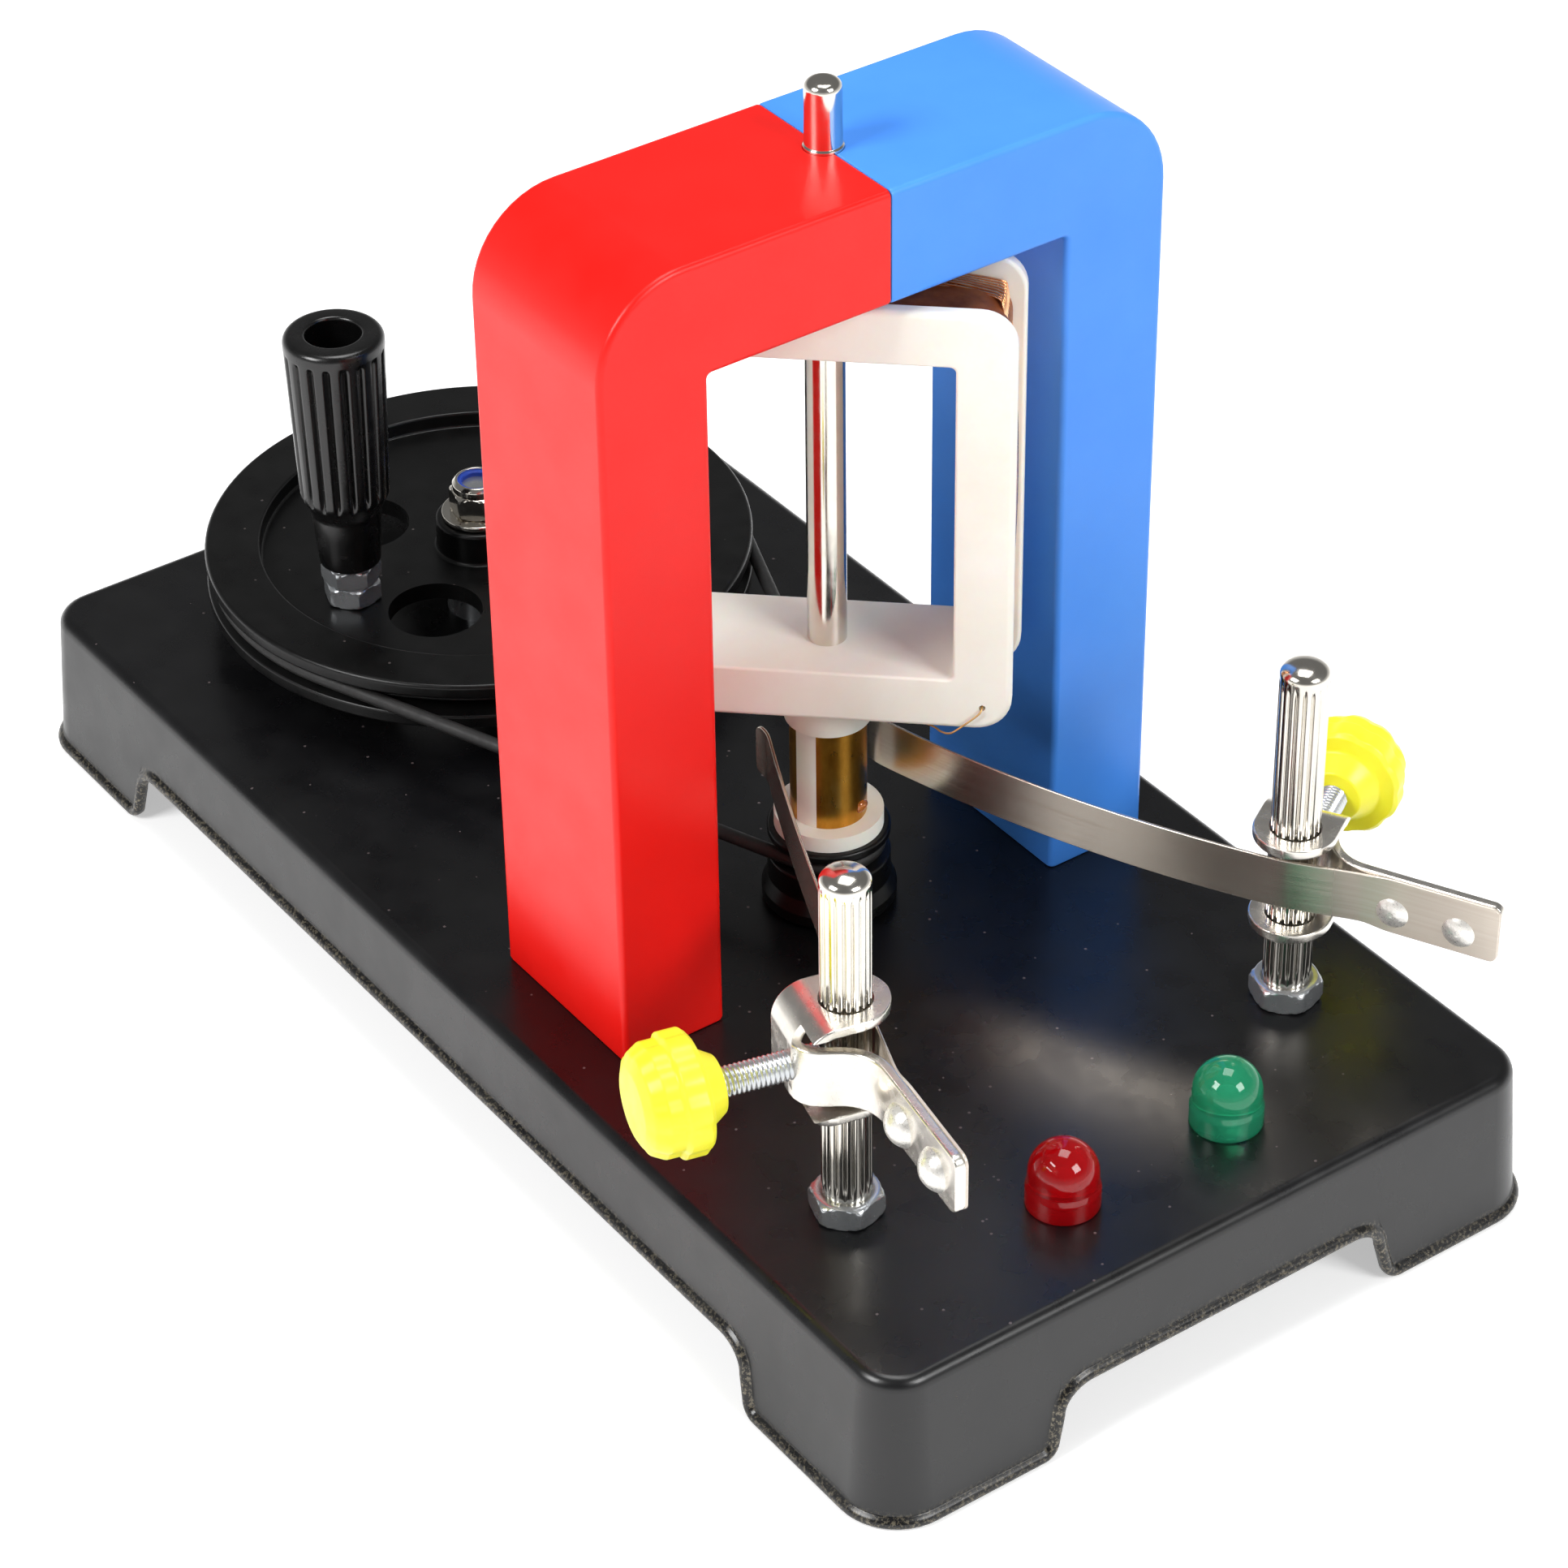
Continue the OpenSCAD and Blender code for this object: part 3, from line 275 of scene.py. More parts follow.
def piece(name, shells, surface, body, stands_for=None, sharp=35):
    """A finished piece that rides on its body, and stands for a node of the frame."""
    obj = placed(name, mesh_from(name, shells))
    obj.data.materials.append(surface)
    smooth(obj, sharp)
    even = obj.modifiers.new("even light", "WEIGHTED_NORMAL")
    even.keep_sharp = True
    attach(obj, body)
    if stands_for:
        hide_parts(stands_for)
    return obj


def cut(obj, skin, sharp=35):
    """Takes a closed skin out of a piece."""
    tool = placed("tool", mesh_from("tool", [skin]))
    mod = obj.modifiers.new("cut", "BOOLEAN")
    mod.operation, mod.solver, mod.object = "DIFFERENCE", "EXACT", tool
    obj.modifiers.move(obj.modifiers.find(mod.name), 0)
    bpy.context.view_layer.objects.active = obj
    bpy.ops.object.modifier_apply(modifier=mod.name)
    bpy.data.objects.remove(tool)
    obj.data.set_sharp_from_angle(angle=math.radians(sharp))


def joined(obj, skin, sharp=35):
    """Adds a closed skin to a piece."""
    extra = mesh_from("extra", [skin])
    both = bmesh.new()
    both.from_mesh(obj.data)
    both.from_mesh(extra)
    both.to_mesh(obj.data)
    both.free()
    bpy.data.meshes.remove(extra)
    smooth(obj, sharp)


def hexagon_nut(centre, z, across, h, bore, turn=0.0, n=96):
    """A hexagon nut: the radius at an angle is the flat's distance over the cosine to the
    nearest flat, and no more than a cone that takes off the corners at both faces."""
    a = np.arange(n)/n*TAU
    flat = across/2/np.cos((a - turn + math.pi/6) % (math.pi/3) - math.pi/6)
    start, slope, bevel = 0.955, 1.75, 0.25
    up = np.array([0, 0.12, 0.3, 0.6, 0.9, 1.2])
    up = up[up < h/2 - 0.1]
    zs = np.concatenate([up, h - up[::-1]])
    cone = across/2*start + np.minimum(zs, h - zs)*slope
    inner, mouth = np.full(n, bore), np.full(n, bore + bevel)
    r = np.vstack([inner, mouth, np.minimum(flat[None, :], cone[:, None]), mouth, inner])
    zs = np.concatenate([[bevel, 0], zs, [h, h - bevel]]) + z
    return shell(rings(r, zs, centre), along=True)


# ---------- finishes ----------

def linear(code):
    """An sRGB hex colour as linear red, green, blue and 1."""
    c = np.array([int(code[k:k + 2], 16) for k in (1, 3, 5)])/255
    return tuple(np.where(c <= 0.04045, c/12.92, ((c + 0.055)/1.055)**2.4)) + (1.0,)


def add(tree, kind, inputs=(), **settings):
    """Adds a node, sets its options, and gives its inputs a value or a link."""
    node = tree.nodes.new(kind)
    for key, value in settings.items():
        setattr(node, key, value)
    for key, value in dict(inputs).items():
        if isinstance(value, bpy.types.NodeSocket):
            tree.links.new(value, node.inputs[key])
        else:
            node.inputs[key].default_value = value
    return node


def calc(tree, operation, a, b):
    """One operation on two values."""
    return add(tree, "ShaderNodeMath", {0: a, 1: b}, operation=operation).outputs[0]


def component(tree, vector, axis):
    """The X, Y or Z of a vector."""
    return add(tree, "ShaderNodeSeparateXYZ", {0: vector}).outputs[axis]


def spread(tree, value, start, end, low=0.0, high=1.0):
    """The value's way from start to end, as low to high."""
    return add(tree, "ShaderNodeMapRange", {"Value": value, "From Min": start, "From Max": end,
                                            "To Min": low, "To Max": high}).outputs["Result"]


def noise(tree, where, scale, detail, roughness=0.5):
    """Smooth random values, about 0.5."""
    return add(tree, "ShaderNodeTexNoise", {"Vector": where, "Scale": scale, "Detail": detail,
                                            "Roughness": roughness}).outputs["Fac"]


def blended(tree, fac, colour, code):
    """The colour, turned into another by the factor."""
    return add(tree, "ShaderNodeMix", {0: fac, 6: colour, 7: linear(code)},
               data_type="RGBA").outputs[2]


def laid(tree):
    """The piece's own "lay" attribute, in mm."""
    return add(tree, "ShaderNodeAttribute", attribute_name="lay").outputs["Vector"]


def ramp(tree, fac, stops):
    """Colours along a factor: stops are (place, hex)."""
    node = add(tree, "ShaderNodeValToRGB", {"Fac": fac})
    bar = node.color_ramp.elements
    while len(bar) < len(stops):
        bar.new(0.5)
    for stop, (place, code) in zip(bar, stops):
        stop.position, stop.color = place, linear(code)
    return node.outputs["Color"]


def specked(tree, where, per_mm, colour, size, share, code):
    """Round specks on what faces up, in a share of the cells of the given size in mm."""
    radius, level, strength = 0.24, 0.9, 0.6
    cells = add(tree, "ShaderNodeTexVoronoi", {"Vector": where, "Scale": per_mm/size})
    pick = add(tree, "ShaderNodeSeparateColor", {"Color": cells.outputs["Color"]})
    few = calc(tree, "LESS_THAN", pick.outputs["Red"], share)
    near = calc(tree, "LESS_THAN", cells.outputs["Distance"], radius)
    normal = add(tree, "ShaderNodeNewGeometry").outputs["Normal"]
    flat = calc(tree, "GREATER_THAN", component(tree, normal, "Z"), level)
    fac = calc(tree, "MULTIPLY", calc(tree, "MULTIPLY", few, near), flat)
    return blended(tree, calc(tree, "MULTIPLY", fac, strength), colour, code)


def dusted(tree, where, per_mm, colour, height, code):
    """Grit along a low edge, thinner up to the given height in mm above it. The piece's
    "lay" attribute holds the height above the edge."""
    size, amount = 0.45, 0.75
    low = spread(tree, component(tree, laid(tree), "X"), height, 0.0)
    grit = noise(tree, where, per_mm/size, 3.0, 0.7)
    grit = spread(tree, grit, 0.5, 0.62, 0.0, amount)
    return blended(tree, calc(tree, "MULTIPLY", low, grit), colour, code)


# Patterns on a strip are drawn out along it.
STRIP_GRAIN = (0.012, 1.0, 1.0)


def finish(name, tones, roughness, patch=9.0, grain=None, lay=None, specks=None, dust=None,
           **sockets):
    """A surface: tones are colours that drift over patches of the given size in mm, roughness
    is its lowest and highest value, grain is (size mm, depth mm) of the surface's relief, lay
    stretches the patterns along a direction or along a strip, specks are (size mm, share,
    colour), and dust is (height mm, colour) of what has settled on a low edge."""
    mat = bpy.data.materials.new(name)
    mat.use_nodes = True
    tree = mat.node_tree
    bsdf = tree.nodes["Principled BSDF"]
    for key, value in sockets.items():
        bsdf.inputs[key.replace("_", " ")].default_value = value
    if lay == "strip":
        where, per_mm, lay = laid(tree), 1.0, STRIP_GRAIN
    else:
        where, per_mm = add(tree, "ShaderNodeTexCoord").outputs["Object"], 1/MM
    if lay:
        where = add(tree, "ShaderNodeMapping", {"Vector": where, "Scale": lay})
        where = where.outputs["Vector"]
    colour = ramp(tree, noise(tree, where, per_mm/patch, 5.0, 0.6), tones)
    if specks:
        colour = specked(tree, where, per_mm, colour, *specks)
    if dust:
        colour = dusted(tree, where, per_mm, colour, *dust)
    tree.links.new(colour, bsdf.inputs["Base Color"])
    finer = 3.1
    wear = noise(tree, where, per_mm/patch*finer, 3.0)
    tree.links.new(spread(tree, wear, 0.3, 0.7, *roughness), bsdf.inputs["Roughness"])
    if grain:
        size, depth = grain
        bump = add(tree, "ShaderNodeBump", {"Height": noise(tree, where, per_mm/size, 2.0),
                                            "Strength": 1.0, "Distance": depth*MM})
        tree.links.new(bump.outputs["Normal"], bsdf.inputs["Normal"])
    return mat


def shine_along(mat, start, end, dull, bright):
    """Lets a strip's metallic shine grow from dull to bright between two places along it."""
    tree = mat.node_tree
    shine = spread(tree, component(tree, laid(tree), "X"), start, end, dull, bright)
    tree.links.new(shine, tree.nodes["Principled BSDF"].inputs["Metallic"])


# Pressed steel under black stoving enamel: deep black, a faint orange peel, fine dust on the
# flats and grit along the foot.
ENAMEL = finish("black stoving enamel on steel", [(0.3, "#080809"), (0.7, "#0e0e10")],
                (0.24, 0.34), 18, (1.1, 0.004), specks=(0.8, 0.016, "#6d6263"),
                dust=(2.4, "#8f8672"), IOR=1.5)
# Sprayed enamel on the cast magnet: a smooth coat of even colour with a broad shine.
RED = finish("red enamel on cast steel", [(0.3, "#ea120c"), (0.7, "#f0170f")], (0.30, 0.38), 22,
             IOR=1.5, Specular_IOR_Level=0.35)
BLUE = finish("blue enamel on cast steel", [(0.3, "#4690f5"), (0.7, "#4d97f8")], (0.30, 0.38),
              22, IOR=1.5, Specular_IOR_Level=0.35)
# Natural ABS moulding: warm white, lets a little light in.
IVORY = finish("natural ABS moulding", [(0.3, "#f7f0e4"), (0.7, "#fcf7ee")], (0.34, 0.46), 12,
               (0.9, 0.004), Subsurface_Weight=0.18, Subsurface_Scale=0.003)
# Black ABS moulding: the pulleys, with a satin mould finish.
BLACK_ABS = finish("black ABS moulding", [(0.3, "#060606"), (0.7, "#0b0b0b")], (0.26, 0.38), 10,
                   (0.7, 0.004), specks=(0.8, 0.012, "#5f5856"), IOR=1.5,
                   Specular_IOR_Level=0.3)
# The same plastic polished by the hand that turns the crank.
GRIP_ABS = finish("black ABS hand grip", [(0.3, "#080808"), (0.7, "#0e0e0e")], (0.20, 0.30), 8,
                  (0.7, 0.003), IOR=1.53)
# Round rubber cord: dull, dark grey where it is worn.
RUBBER = finish("black rubber cord", [(0.3, "#0e0e0e"), (0.7, "#1b1a19")], (0.5, 0.65), 3,
                (0.4, 0.01))
# Bright nickel plate on turned steel: a clear, faintly warm mirror.
NICKEL = finish("bright nickel plate", [(0.3, "#d5d0c6"), (0.7, "#e3dfd7")], (0.10, 0.20), 7,
                (2.5, 0.003), Metallic=1.0)
# The same plate over rolled steel strip, softer than on turned rod.
PLATED_STRIP = finish("nickel plate on rolled steel", [(0.3, "#d8d3ca"), (0.7, "#e7e3dc")],
                      (0.20, 0.30), 5, (4.0, 0.006), Metallic=0.95)
# Rivet heads closed by hammer: nickel with small dents.
RIVET = finish("hammered nickel rivet", [(0.3, "#dedbd4"), (0.7, "#f0eee9")], (0.24, 0.38), 1,
               (0.45, 0.03), Metallic=0.65)
# Bright zinc plate: cooler and duller than nickel, with a thin white bloom.
ZINC = finish("bright zinc plate", [(0.3, "#bcc0c4"), (0.7, "#d3d6d8")], (0.22, 0.28), 6,
              (5.0, 0.003), Metallic=0.82)
# Tinned spring bronze strip: fine rolling lines run along it, and the tin has gone dull white
# round the rivets.
LEAF = finish("tinned spring bronze strip", [(0.3, "#d2c5b6"), (0.7, "#dfd6ca")], (0.20, 0.27),
              0.6, lay="strip")
shine_along(LEAF, 13.0, 26.0, 0.35, 0.95)
# Turned brass with handling marks.
BRASS = finish("turned brass", [(0.3, "#b47a26"), (0.5, "#cf963a"), (0.7, "#e2b25a")],
               (0.27, 0.31), 3.6, (4.0, 0.003), lay=(1, 1, 0.45), Metallic=1.0)
# Copper wire under clear enamel: golden red and glossy.
COPPER = finish("enamelled copper wire", [(0.3, "#e8935a"), (0.7, "#ffcf9f")], (0.20, 0.28), 2.5,
                Metallic=0.85, Coat_Weight=0.8, Coat_Roughness=0.1)
# The turns below the last layer: the same copper painted darker, as painted shade where it shows
# between the strands.
SHADED_INNER_TURNS = finish("inner turns of copper wire in painted shade", [(0.3, "#7c401d"), (0.7, "#a45c2e")],
                     (0.35, 0.5), 2, Metallic=0.5)
# The bared ends of the same wire: thin, pale and dull gold.
BARE_WIRE = finish("bared copper wire", [(0.3, "#c69a58"), (0.7, "#e2bf86")], (0.3, 0.45), 2,
                   Metallic=0.7)
# Solder over rosin: an orange brown bead.
SOLDER = finish("rosin on solder", [(0.3, "#8f4a14"), (0.7, "#cf7a2c")], (0.12, 0.24), 0.8,
                (0.5, 0.03), Metallic=0.3, Coat_Weight=0.6)
# Yellow moulded thumb knobs, bright and slightly translucent.
YELLOW = finish("yellow ABS moulding", [(0.3, "#f6ee24"), (0.7, "#fbf53e")], (0.30, 0.42), 9,
                (0.8, 0.005), Subsurface_Weight=0.15, Subsurface_Scale=0.002)
# The locking nut's ring: deep blue and dull.
NYLON = finish("blue nylon ring", [(0.3, "#2246b8"), (0.7, "#2f5cd6")], (0.35, 0.5), 2)
# Tinted clear resin of the indicator lamps: smooth, coloured right through.
RED_LENS = finish("red tinted resin", [(0.3, "#e00a14"), (0.7, "#ea0f1a")], (0.02, 0.04), 8,
                  IOR=1.46, Transmission_Weight=0.66)
GREEN_LENS = finish("green tinted resin", [(0.3, "#35c890"), (0.7, "#40d69e")], (0.02, 0.04), 8,
                    IOR=1.46, Transmission_Weight=0.72)


# ---------- tray ----------

def arch_edge(half_core, half_arch):
    """One side's lower edge as (place along the side, height): level on the feet, a rounded
    corner, a steep flare, an elliptic shoulder, and the level arch."""
    height, flare_h, flare, reach, foot_r, pitch = 9.0, 5.8, 0.48, 4.16, 2.6, 3.0
    a = sweep(0, 90, 14)
    shoulder = np.stack([half_arch - flare - reach*(1 - np.cos(a)),
                         flare_h + (height - flare_h)*np.sin(a)], -1)
    right = np.vstack([[[half_core, 0], [half_arch + 1, 0]], shoulder, [[0, height]]])
    right = rounded(right, [0, foot_r] + [0]*(len(right) - 2), 14)
    place = lengths(right)
    fine = np.unique(np.concatenate([place, np.arange(0, place[-1], pitch)]))
    fine = fine[np.concatenate([[True], np.diff(fine) > 0.05])]
    right = along_path(right, fine)
    right[-1, 0] = 0
    return np.vstack([right*[-1, 1], right[:-1][::-1]])


def tray():
    """The pressed tray. Round the core rectangle, each column has a core point, an outward
    direction, and a height and slope of the lower edge; each row adds an outset and a height:
    the bend, the drafted side, the rolled lip that follows the arches, and the wall's inner
    face. Its "lay" attribute is the height above the edge."""
    radius, bend, draft, lip, wall, under_bend = 6.0, 1.7, 1.5, 1.75, 1.0, 0.8
    core_l, core_w, arch_l, arch_w = 94, 44, 73, 25
    corner = sweep(0, 90, 12)[1:-1]
    core, out, side, edge, lift = [], [], [], [], []
    for k in range(4):
        half_core, half_arch, far = ((core_w, arch_w, core_l), (core_l, arch_l, core_w))[k % 2]
        turn = k*math.pi/2
        ahead = np.array([math.cos(turn), math.sin(turn)])
        aside = np.array([-ahead[1], ahead[0]])
        e = arch_edge(half_core, half_arch)
        slope = np.gradient(e, lengths(e), axis=0)
        normal = unit(np.stack([-slope[:, 1], slope[:, 0]], -1))
        core.append(far*ahead + e[:, :1]*aside)
        out.append(np.repeat(ahead[None], len(e), 0))
        side.append(normal[:, :1]*aside)
        edge.append(e[:, 1])
        lift.append(normal[:, 1])
        a = turn + corner
        core.append(np.repeat((far*ahead + half_core*aside)[None], len(a), 0))
        out.append(np.stack([np.cos(a), np.sin(a)], -1))
        side.append(np.zeros((len(a), 2)))
        edge.append(np.zeros(len(a)))
        lift.append(np.ones(len(a)))
    core, out, side = np.vstack(core), np.vstack(out), np.vstack(side)
    edge, lift = np.concatenate(edge), np.concatenate(lift)
    knee = DECK - bend

    def ring(outset, z, slide=0.0):
        """The core's points set out to a height, and slid along the side."""
        p = core + out*(radius + np.asarray(outset)[..., None]) + side*slide
        return np.concatenate([p, np.broadcast_to(z, len(core))[:, None]], 1)

    rows = [ring(bend*(math.cos(a) - 1), knee + bend*math.sin(a)) for a in sweep(90, 0, 7)]
    low = edge + lip*lift
    for t in np.linspace(0, 1, 10)[1:]:
        z = knee + (low - knee)*t
        rows.append(ring(draft*(1 - z/knee), z, lip*t**5))
    # The lip's round section: height above the edge, and how far it stands out of the side.
    for up, proud in [(1.62, 0.03), (1.5, 0.14), (1.34, 0.4), (1.05, 0.66), (0.65, 0.76),
                      (0.32, 0.68), (0.09, 0.42), (0.0, 0.1), (0.0, -0.3), (0.1, -0.75),
                      (0.5, -wall)]:
        z = edge + up*lift
        rows.append(ring(draft*(1 - z/knee) + proud, z, up))
    for t in (0.0, 0.5, 1.0):
        z = low*(1 - t) + (UNDER - under_bend)*t
        rows.append(ring(draft*(1 - z/knee) - wall, z, lip*(1 - t)))
    rows.append(ring(-wall - 0.9, UNDER))
    rows = np.array(rows)
    above = rows[..., 2] - edge
    return shell(rows, lay=np.stack([above, above, above], -1))


piece("tray", [tray()], ENAMEL, "frame", "base_tray", sharp=50)


# ---------- magnet ----------

def magnet_half(side):
    """Half of the U magnet. At each station there are an inner and an outer point in the
    upright plane. Round the section, each point lies a set depth in from one of the two, so
    the long edges are rounded; the end stations are drawn in, which rounds the edges on the
    deck and between the halves."""
    leg_in, leg_out, bar, top, thick = 25.99, 41.09, 116.4, 131.6, 26.8
    inner_r, outer_r, edge_r = 0.6, 12, 0.8
    turn = sweep(0, 90, 13)

    def line(leg, level, r):
        """Up the leg, round the corner and along the bar to the middle."""
        bow = np.stack([leg - r*(1 - np.cos(turn)), level - r*(1 - np.sin(turn))], -1)
        return np.vstack([[[leg, DECK]]*3, [[leg, 80.0]], bow, [[20, level]], [[0, level]]*3])

    inner, outer = line(leg_in, bar, inner_r), line(leg_out, top, outer_r)
    drawn = np.zeros(len(inner))
    drawn[[0, 1, -2, -1]] = [0.45, 0.12, 0.08, 0.3]
    # The stations next to the ends are set off along the leg and along the bar.
    slip = np.zeros((len(inner), 2))
    slip[[1, 2]] = [[0, 0.12], [0, 0.5]]
    slip[[-3, -2]] = [[0.35, 0], [0.1, 0]]
    arc = sweep(0, 90, 5)
    near = edge_r*(1 - np.sin(arc))
    x = thick/2 - edge_r*(1 - np.cos(arc))
    depth = np.concatenate([near[::-1], near, near[::-1], near])
    width = np.concatenate([x[::-1], x, -x[::-1], -x])
    from_inner = np.repeat([True, False, False, True], len(arc))[None, :, None]
    across = unit(outer - inner)[:, None]
    d = depth[None, :, None] + drawn[:, None, None]
    p = np.where(from_inner, inner[:, None] + across*d, outer[:, None] - across*d) \
        + slip[:, None]
    w = np.sign(width)[None]*(np.abs(width)[None] - drawn[:, None])
    return shell(np.stack([ROTOR[0] + w, ROTOR[1] + side*p[..., 0], p[..., 1]], -1))


for colour, sign, paint in (("red", -1, RED), ("blue", 1, BLUE)):
    half = piece("magnet_" + colour + "_half", [magnet_half(sign)], paint, "frame",
                 "magnet_" + colour, sharp=40)
    cut(half, lathe([(2.55, 110), (2.55, 140)], ROTOR, 48), 40)


# ---------- rotor ----------

def former():
    """The spool's section, a channel with two flanges, carried round the window: a section
    point's distance from the window sets that ring's half sizes and its corner radius."""
    depth, wall, flange, wide = 16.5, 1.6, 2.2, 7.3
    window_w, window_h, window_r, growth = 16.5, 22.5, 0.8, 0.507
    d = depth/2
    section = rounded([(0, -d), (0, d), (wide, d), (wide, d - flange), (wall, d - flange),
                       (wall, flange - d), (wide, flange - d), (wide, -d)],
                      [0.35, 0.35, 0.8, 0.5, 0.3, 0.3, 0.5, 0.8], 5, closed=True)
    off = section[:, 0]
    ring = box_ring(window_w + off, window_h + off, window_r + off*growth, 10)
    p = np.stack([np.repeat(section[:, 1:], ring.shape[1], 1), ring[..., 0],
                  COIL_Z + ring[..., 1]], -1)
    return shell(turned(p, ROTOR_TURN, ROTOR), along=True)


# Where the coil's leads come through the former's flange.
LEAD_Y, LEAD_Z = 20.2, 58.3
spool = piece("coil_spool", [former()], IVORY, "rotor", "coil_former", sharp=45)
for flip in (0, math.pi):
    hole = tube([(4.0, LEAD_Y, LEAD_Z), (10.0, LEAD_Y, LEAD_Z)], 0.42, 16, (0, 0, 1))
    cut(spool, (turned(hole[0], ROTOR_TURN + flip, ROTOR), hole[1], None), 45)


def winding(loops=36, wire=0.31, steps=96):
    """One unbroken wire. Round each loop its middle runs over a rounded rectangle: a diamond,
    the cosine and the sine over the sum of their sizes, stretched and clipped to a box, plus
    the corner radius outwards. From loop to loop it moves across the channel, and at the top
    and the bottom it is gathered to either side of the shaft in three layers, a loop's place
    in them being its count from the middle. The full coil bulges at its two sides."""
    half_channel, shaft, pitch, shift, layer = 5.72, 3.35, 0.42, 0.14, 0.33
    corner, stretch, sway, belly = 5.0, 2.128, 0.05, 0.035
    w, h = 22.5 - corner, 27.76 - corner
    k = np.arange(loops*steps + 1)
    j, i = k % steps, k//steps
    a = j/steps*TAU + math.radians(5)
    c, s = np.cos(a), np.sin(a)
    q = 2*k/(loops*steps) - 1
    near = s**2
    near = near**2*(3 - 2*near)
    count = np.minimum(np.abs(i + 0.5 - loops/2) - 0.5, loops/2 - 1)
    tight = np.sign(q + 1e-9)*(shaft + pitch*(count//3) + shift*(count % 3))
    wobble = sway*np.sin(i*2.4 + 1.0)*near
    out = corner + (count % 3 - 1)*layer*near
    reach = stretch/(np.abs(c) + np.abs(s))
    box_y, box_z = np.clip(w*c*reach, -w, w), np.clip(h*s*reach, -h, h)
    bulge = 1 + belly*np.clip(1 - (box_z/h)**2, 0, 1)*(1 - 0.5*q**2)
    p = np.stack([half_channel*q*(1 - near) + tight*near + wobble, (box_y + out*c)*bulge,
                  COIL_Z + box_z + out*s], -1)
    t = unit(np.gradient(p, axis=0))
    n = np.stack([0*c, c, s], -1)
    b = np.cross(t, n)
    ang = (np.arange(8)/8*TAU)[None, :, None]
    rows = p[:, None] + wire/2*(np.cos(ang)*n[:, None] + np.sin(ang)*b[:, None])
    return shell(turned(rows, ROTOR_TURN, ROTOR))


piece("coil_turns", [winding()], COPPER, "rotor", "coil_winding", sharp=180)
# A lead's way from there down to its commutator bar, in the coil's own frame.
LEAD = [(5.65, LEAD_Y, LEAD_Z), (7.65, LEAD_Y, LEAD_Z), (8.5, LEAD_Y - 0.1, LEAD_Z - 0.2),
        (8.75, LEAD_Y - 0.6, LEAD_Z - 0.9), (8.8, LEAD_Y - 3.0, 55.2),
        (8.6, LEAD_Y - 4.0, 54.4), (7.75, LEAD_Y - 5.1, 54.0), (6.25, LEAD_Y - 6.8, 53.9),
        (4.25, 8.8, 53.6), (3.0, 7.5, 53.4), (2.2, 6.7, 53.5), (1.7, 6.0, 53.7)]
for name, flip in (("a", 0), ("b", math.pi)):
    lead = tube(through(LEAD, 6), 0.13, 8, (0.9, -1.1, 0.45))
    piece("lead_wire_" + name, [(turned(lead[0], ROTOR_TURN + flip, ROTOR), lead[1], None)],
          BARE_WIRE, "rotor", "coil_lead_" + name, sharp=180)

piece("shaft_rod", [lathe(rounded([(0, 15.2), (2.5, 15.2), (2.5, 131.9), (2.3, 132.1),
                                   (2.3, 140.38), (0, 140.38)],
                                  [0, 0.2, 0.05, 0.05, 1.1, 0], 9), ROTOR)], NICKEL, "rotor",
      "rotor_shaft", sharp=60)


def bead():
    """A solder bead on a commutator bar: half an ellipsoid whose radius swells and shrinks
    with the cosine of three times the angle round it."""
    a, bar_r, height = math.radians(24), 4.75, 37.4
    wide, tall, thick = 1.15, 0.8, 0.75
    out, side = np.array([math.cos(a), math.sin(a), 0]), np.array([-math.sin(a), math.cos(a), 0])
    base = np.array([ROTOR[0], ROTOR[1], height]) + bar_r*out
    u = (np.arange(24)/24*TAU)[None, :, None]
    v = sweep(90, 2, 9)[:, None, None]
    swell = 1 + 0.14*np.cos(3*u + 0.6)
    return shell(base + side*wide*swell*np.cos(u)*np.sin(v)
                 + np.array([0, 0, 1.0])*tall*swell*np.sin(u)*np.sin(v) + out*thick*np.cos(v))


piece("solder_bead", [bead()], SOLDER, "rotor", sharp=180)


# ---------- pulleys, belt and crank ----------

def drive_wheel():
    """Revolved section of the crank pulley: rim with a belt groove, web and hub."""
    bore, hub, rim_in, rim, groove = 2.05, 6.0, 30.6, 38.3, 35.6
    return hoop([(bore, 27.0), (hub, 27.0), (hub, 29.2), (rim_in, 29.2), (rim_in, 27.0),
                 (rim, 27.0), (rim, 29.0), (groove, BELT_Z - 0.6), (groove, BELT_Z + 0.6),
                 (rim, 32.0), (rim, 34.0), (rim_in, 34.0), (rim_in, 31.7), (hub, 31.7),
                 (hub, 36.5), (bore, 36.5)],
                [0, .3, .3, .3, .3, .5, .4, .3, .3, .4, .6, .4, .4, .5, .5, 0], 5, PULLEY, 160)


wheel = piece("crank_wheel", [drive_wheel()], BLACK_ABS, "crank_pulley",
              "drive_pulley", sharp=35)
HOLE_REACH, HOLE_R = 17.5, 6.5
for k in range(4):
    a = CRANK_TURN + math.radians(35 + 90*k)
    hole_at = PULLEY + HOLE_REACH*np.array([math.cos(a), math.sin(a)])
    cut(wheel, lathe([(HOLE_R, 26), (HOLE_R, 33)], hole_at, 64))
cut(wheel, lathe([(2.0, 26), (2.0, 33)], HANDLE, 32))


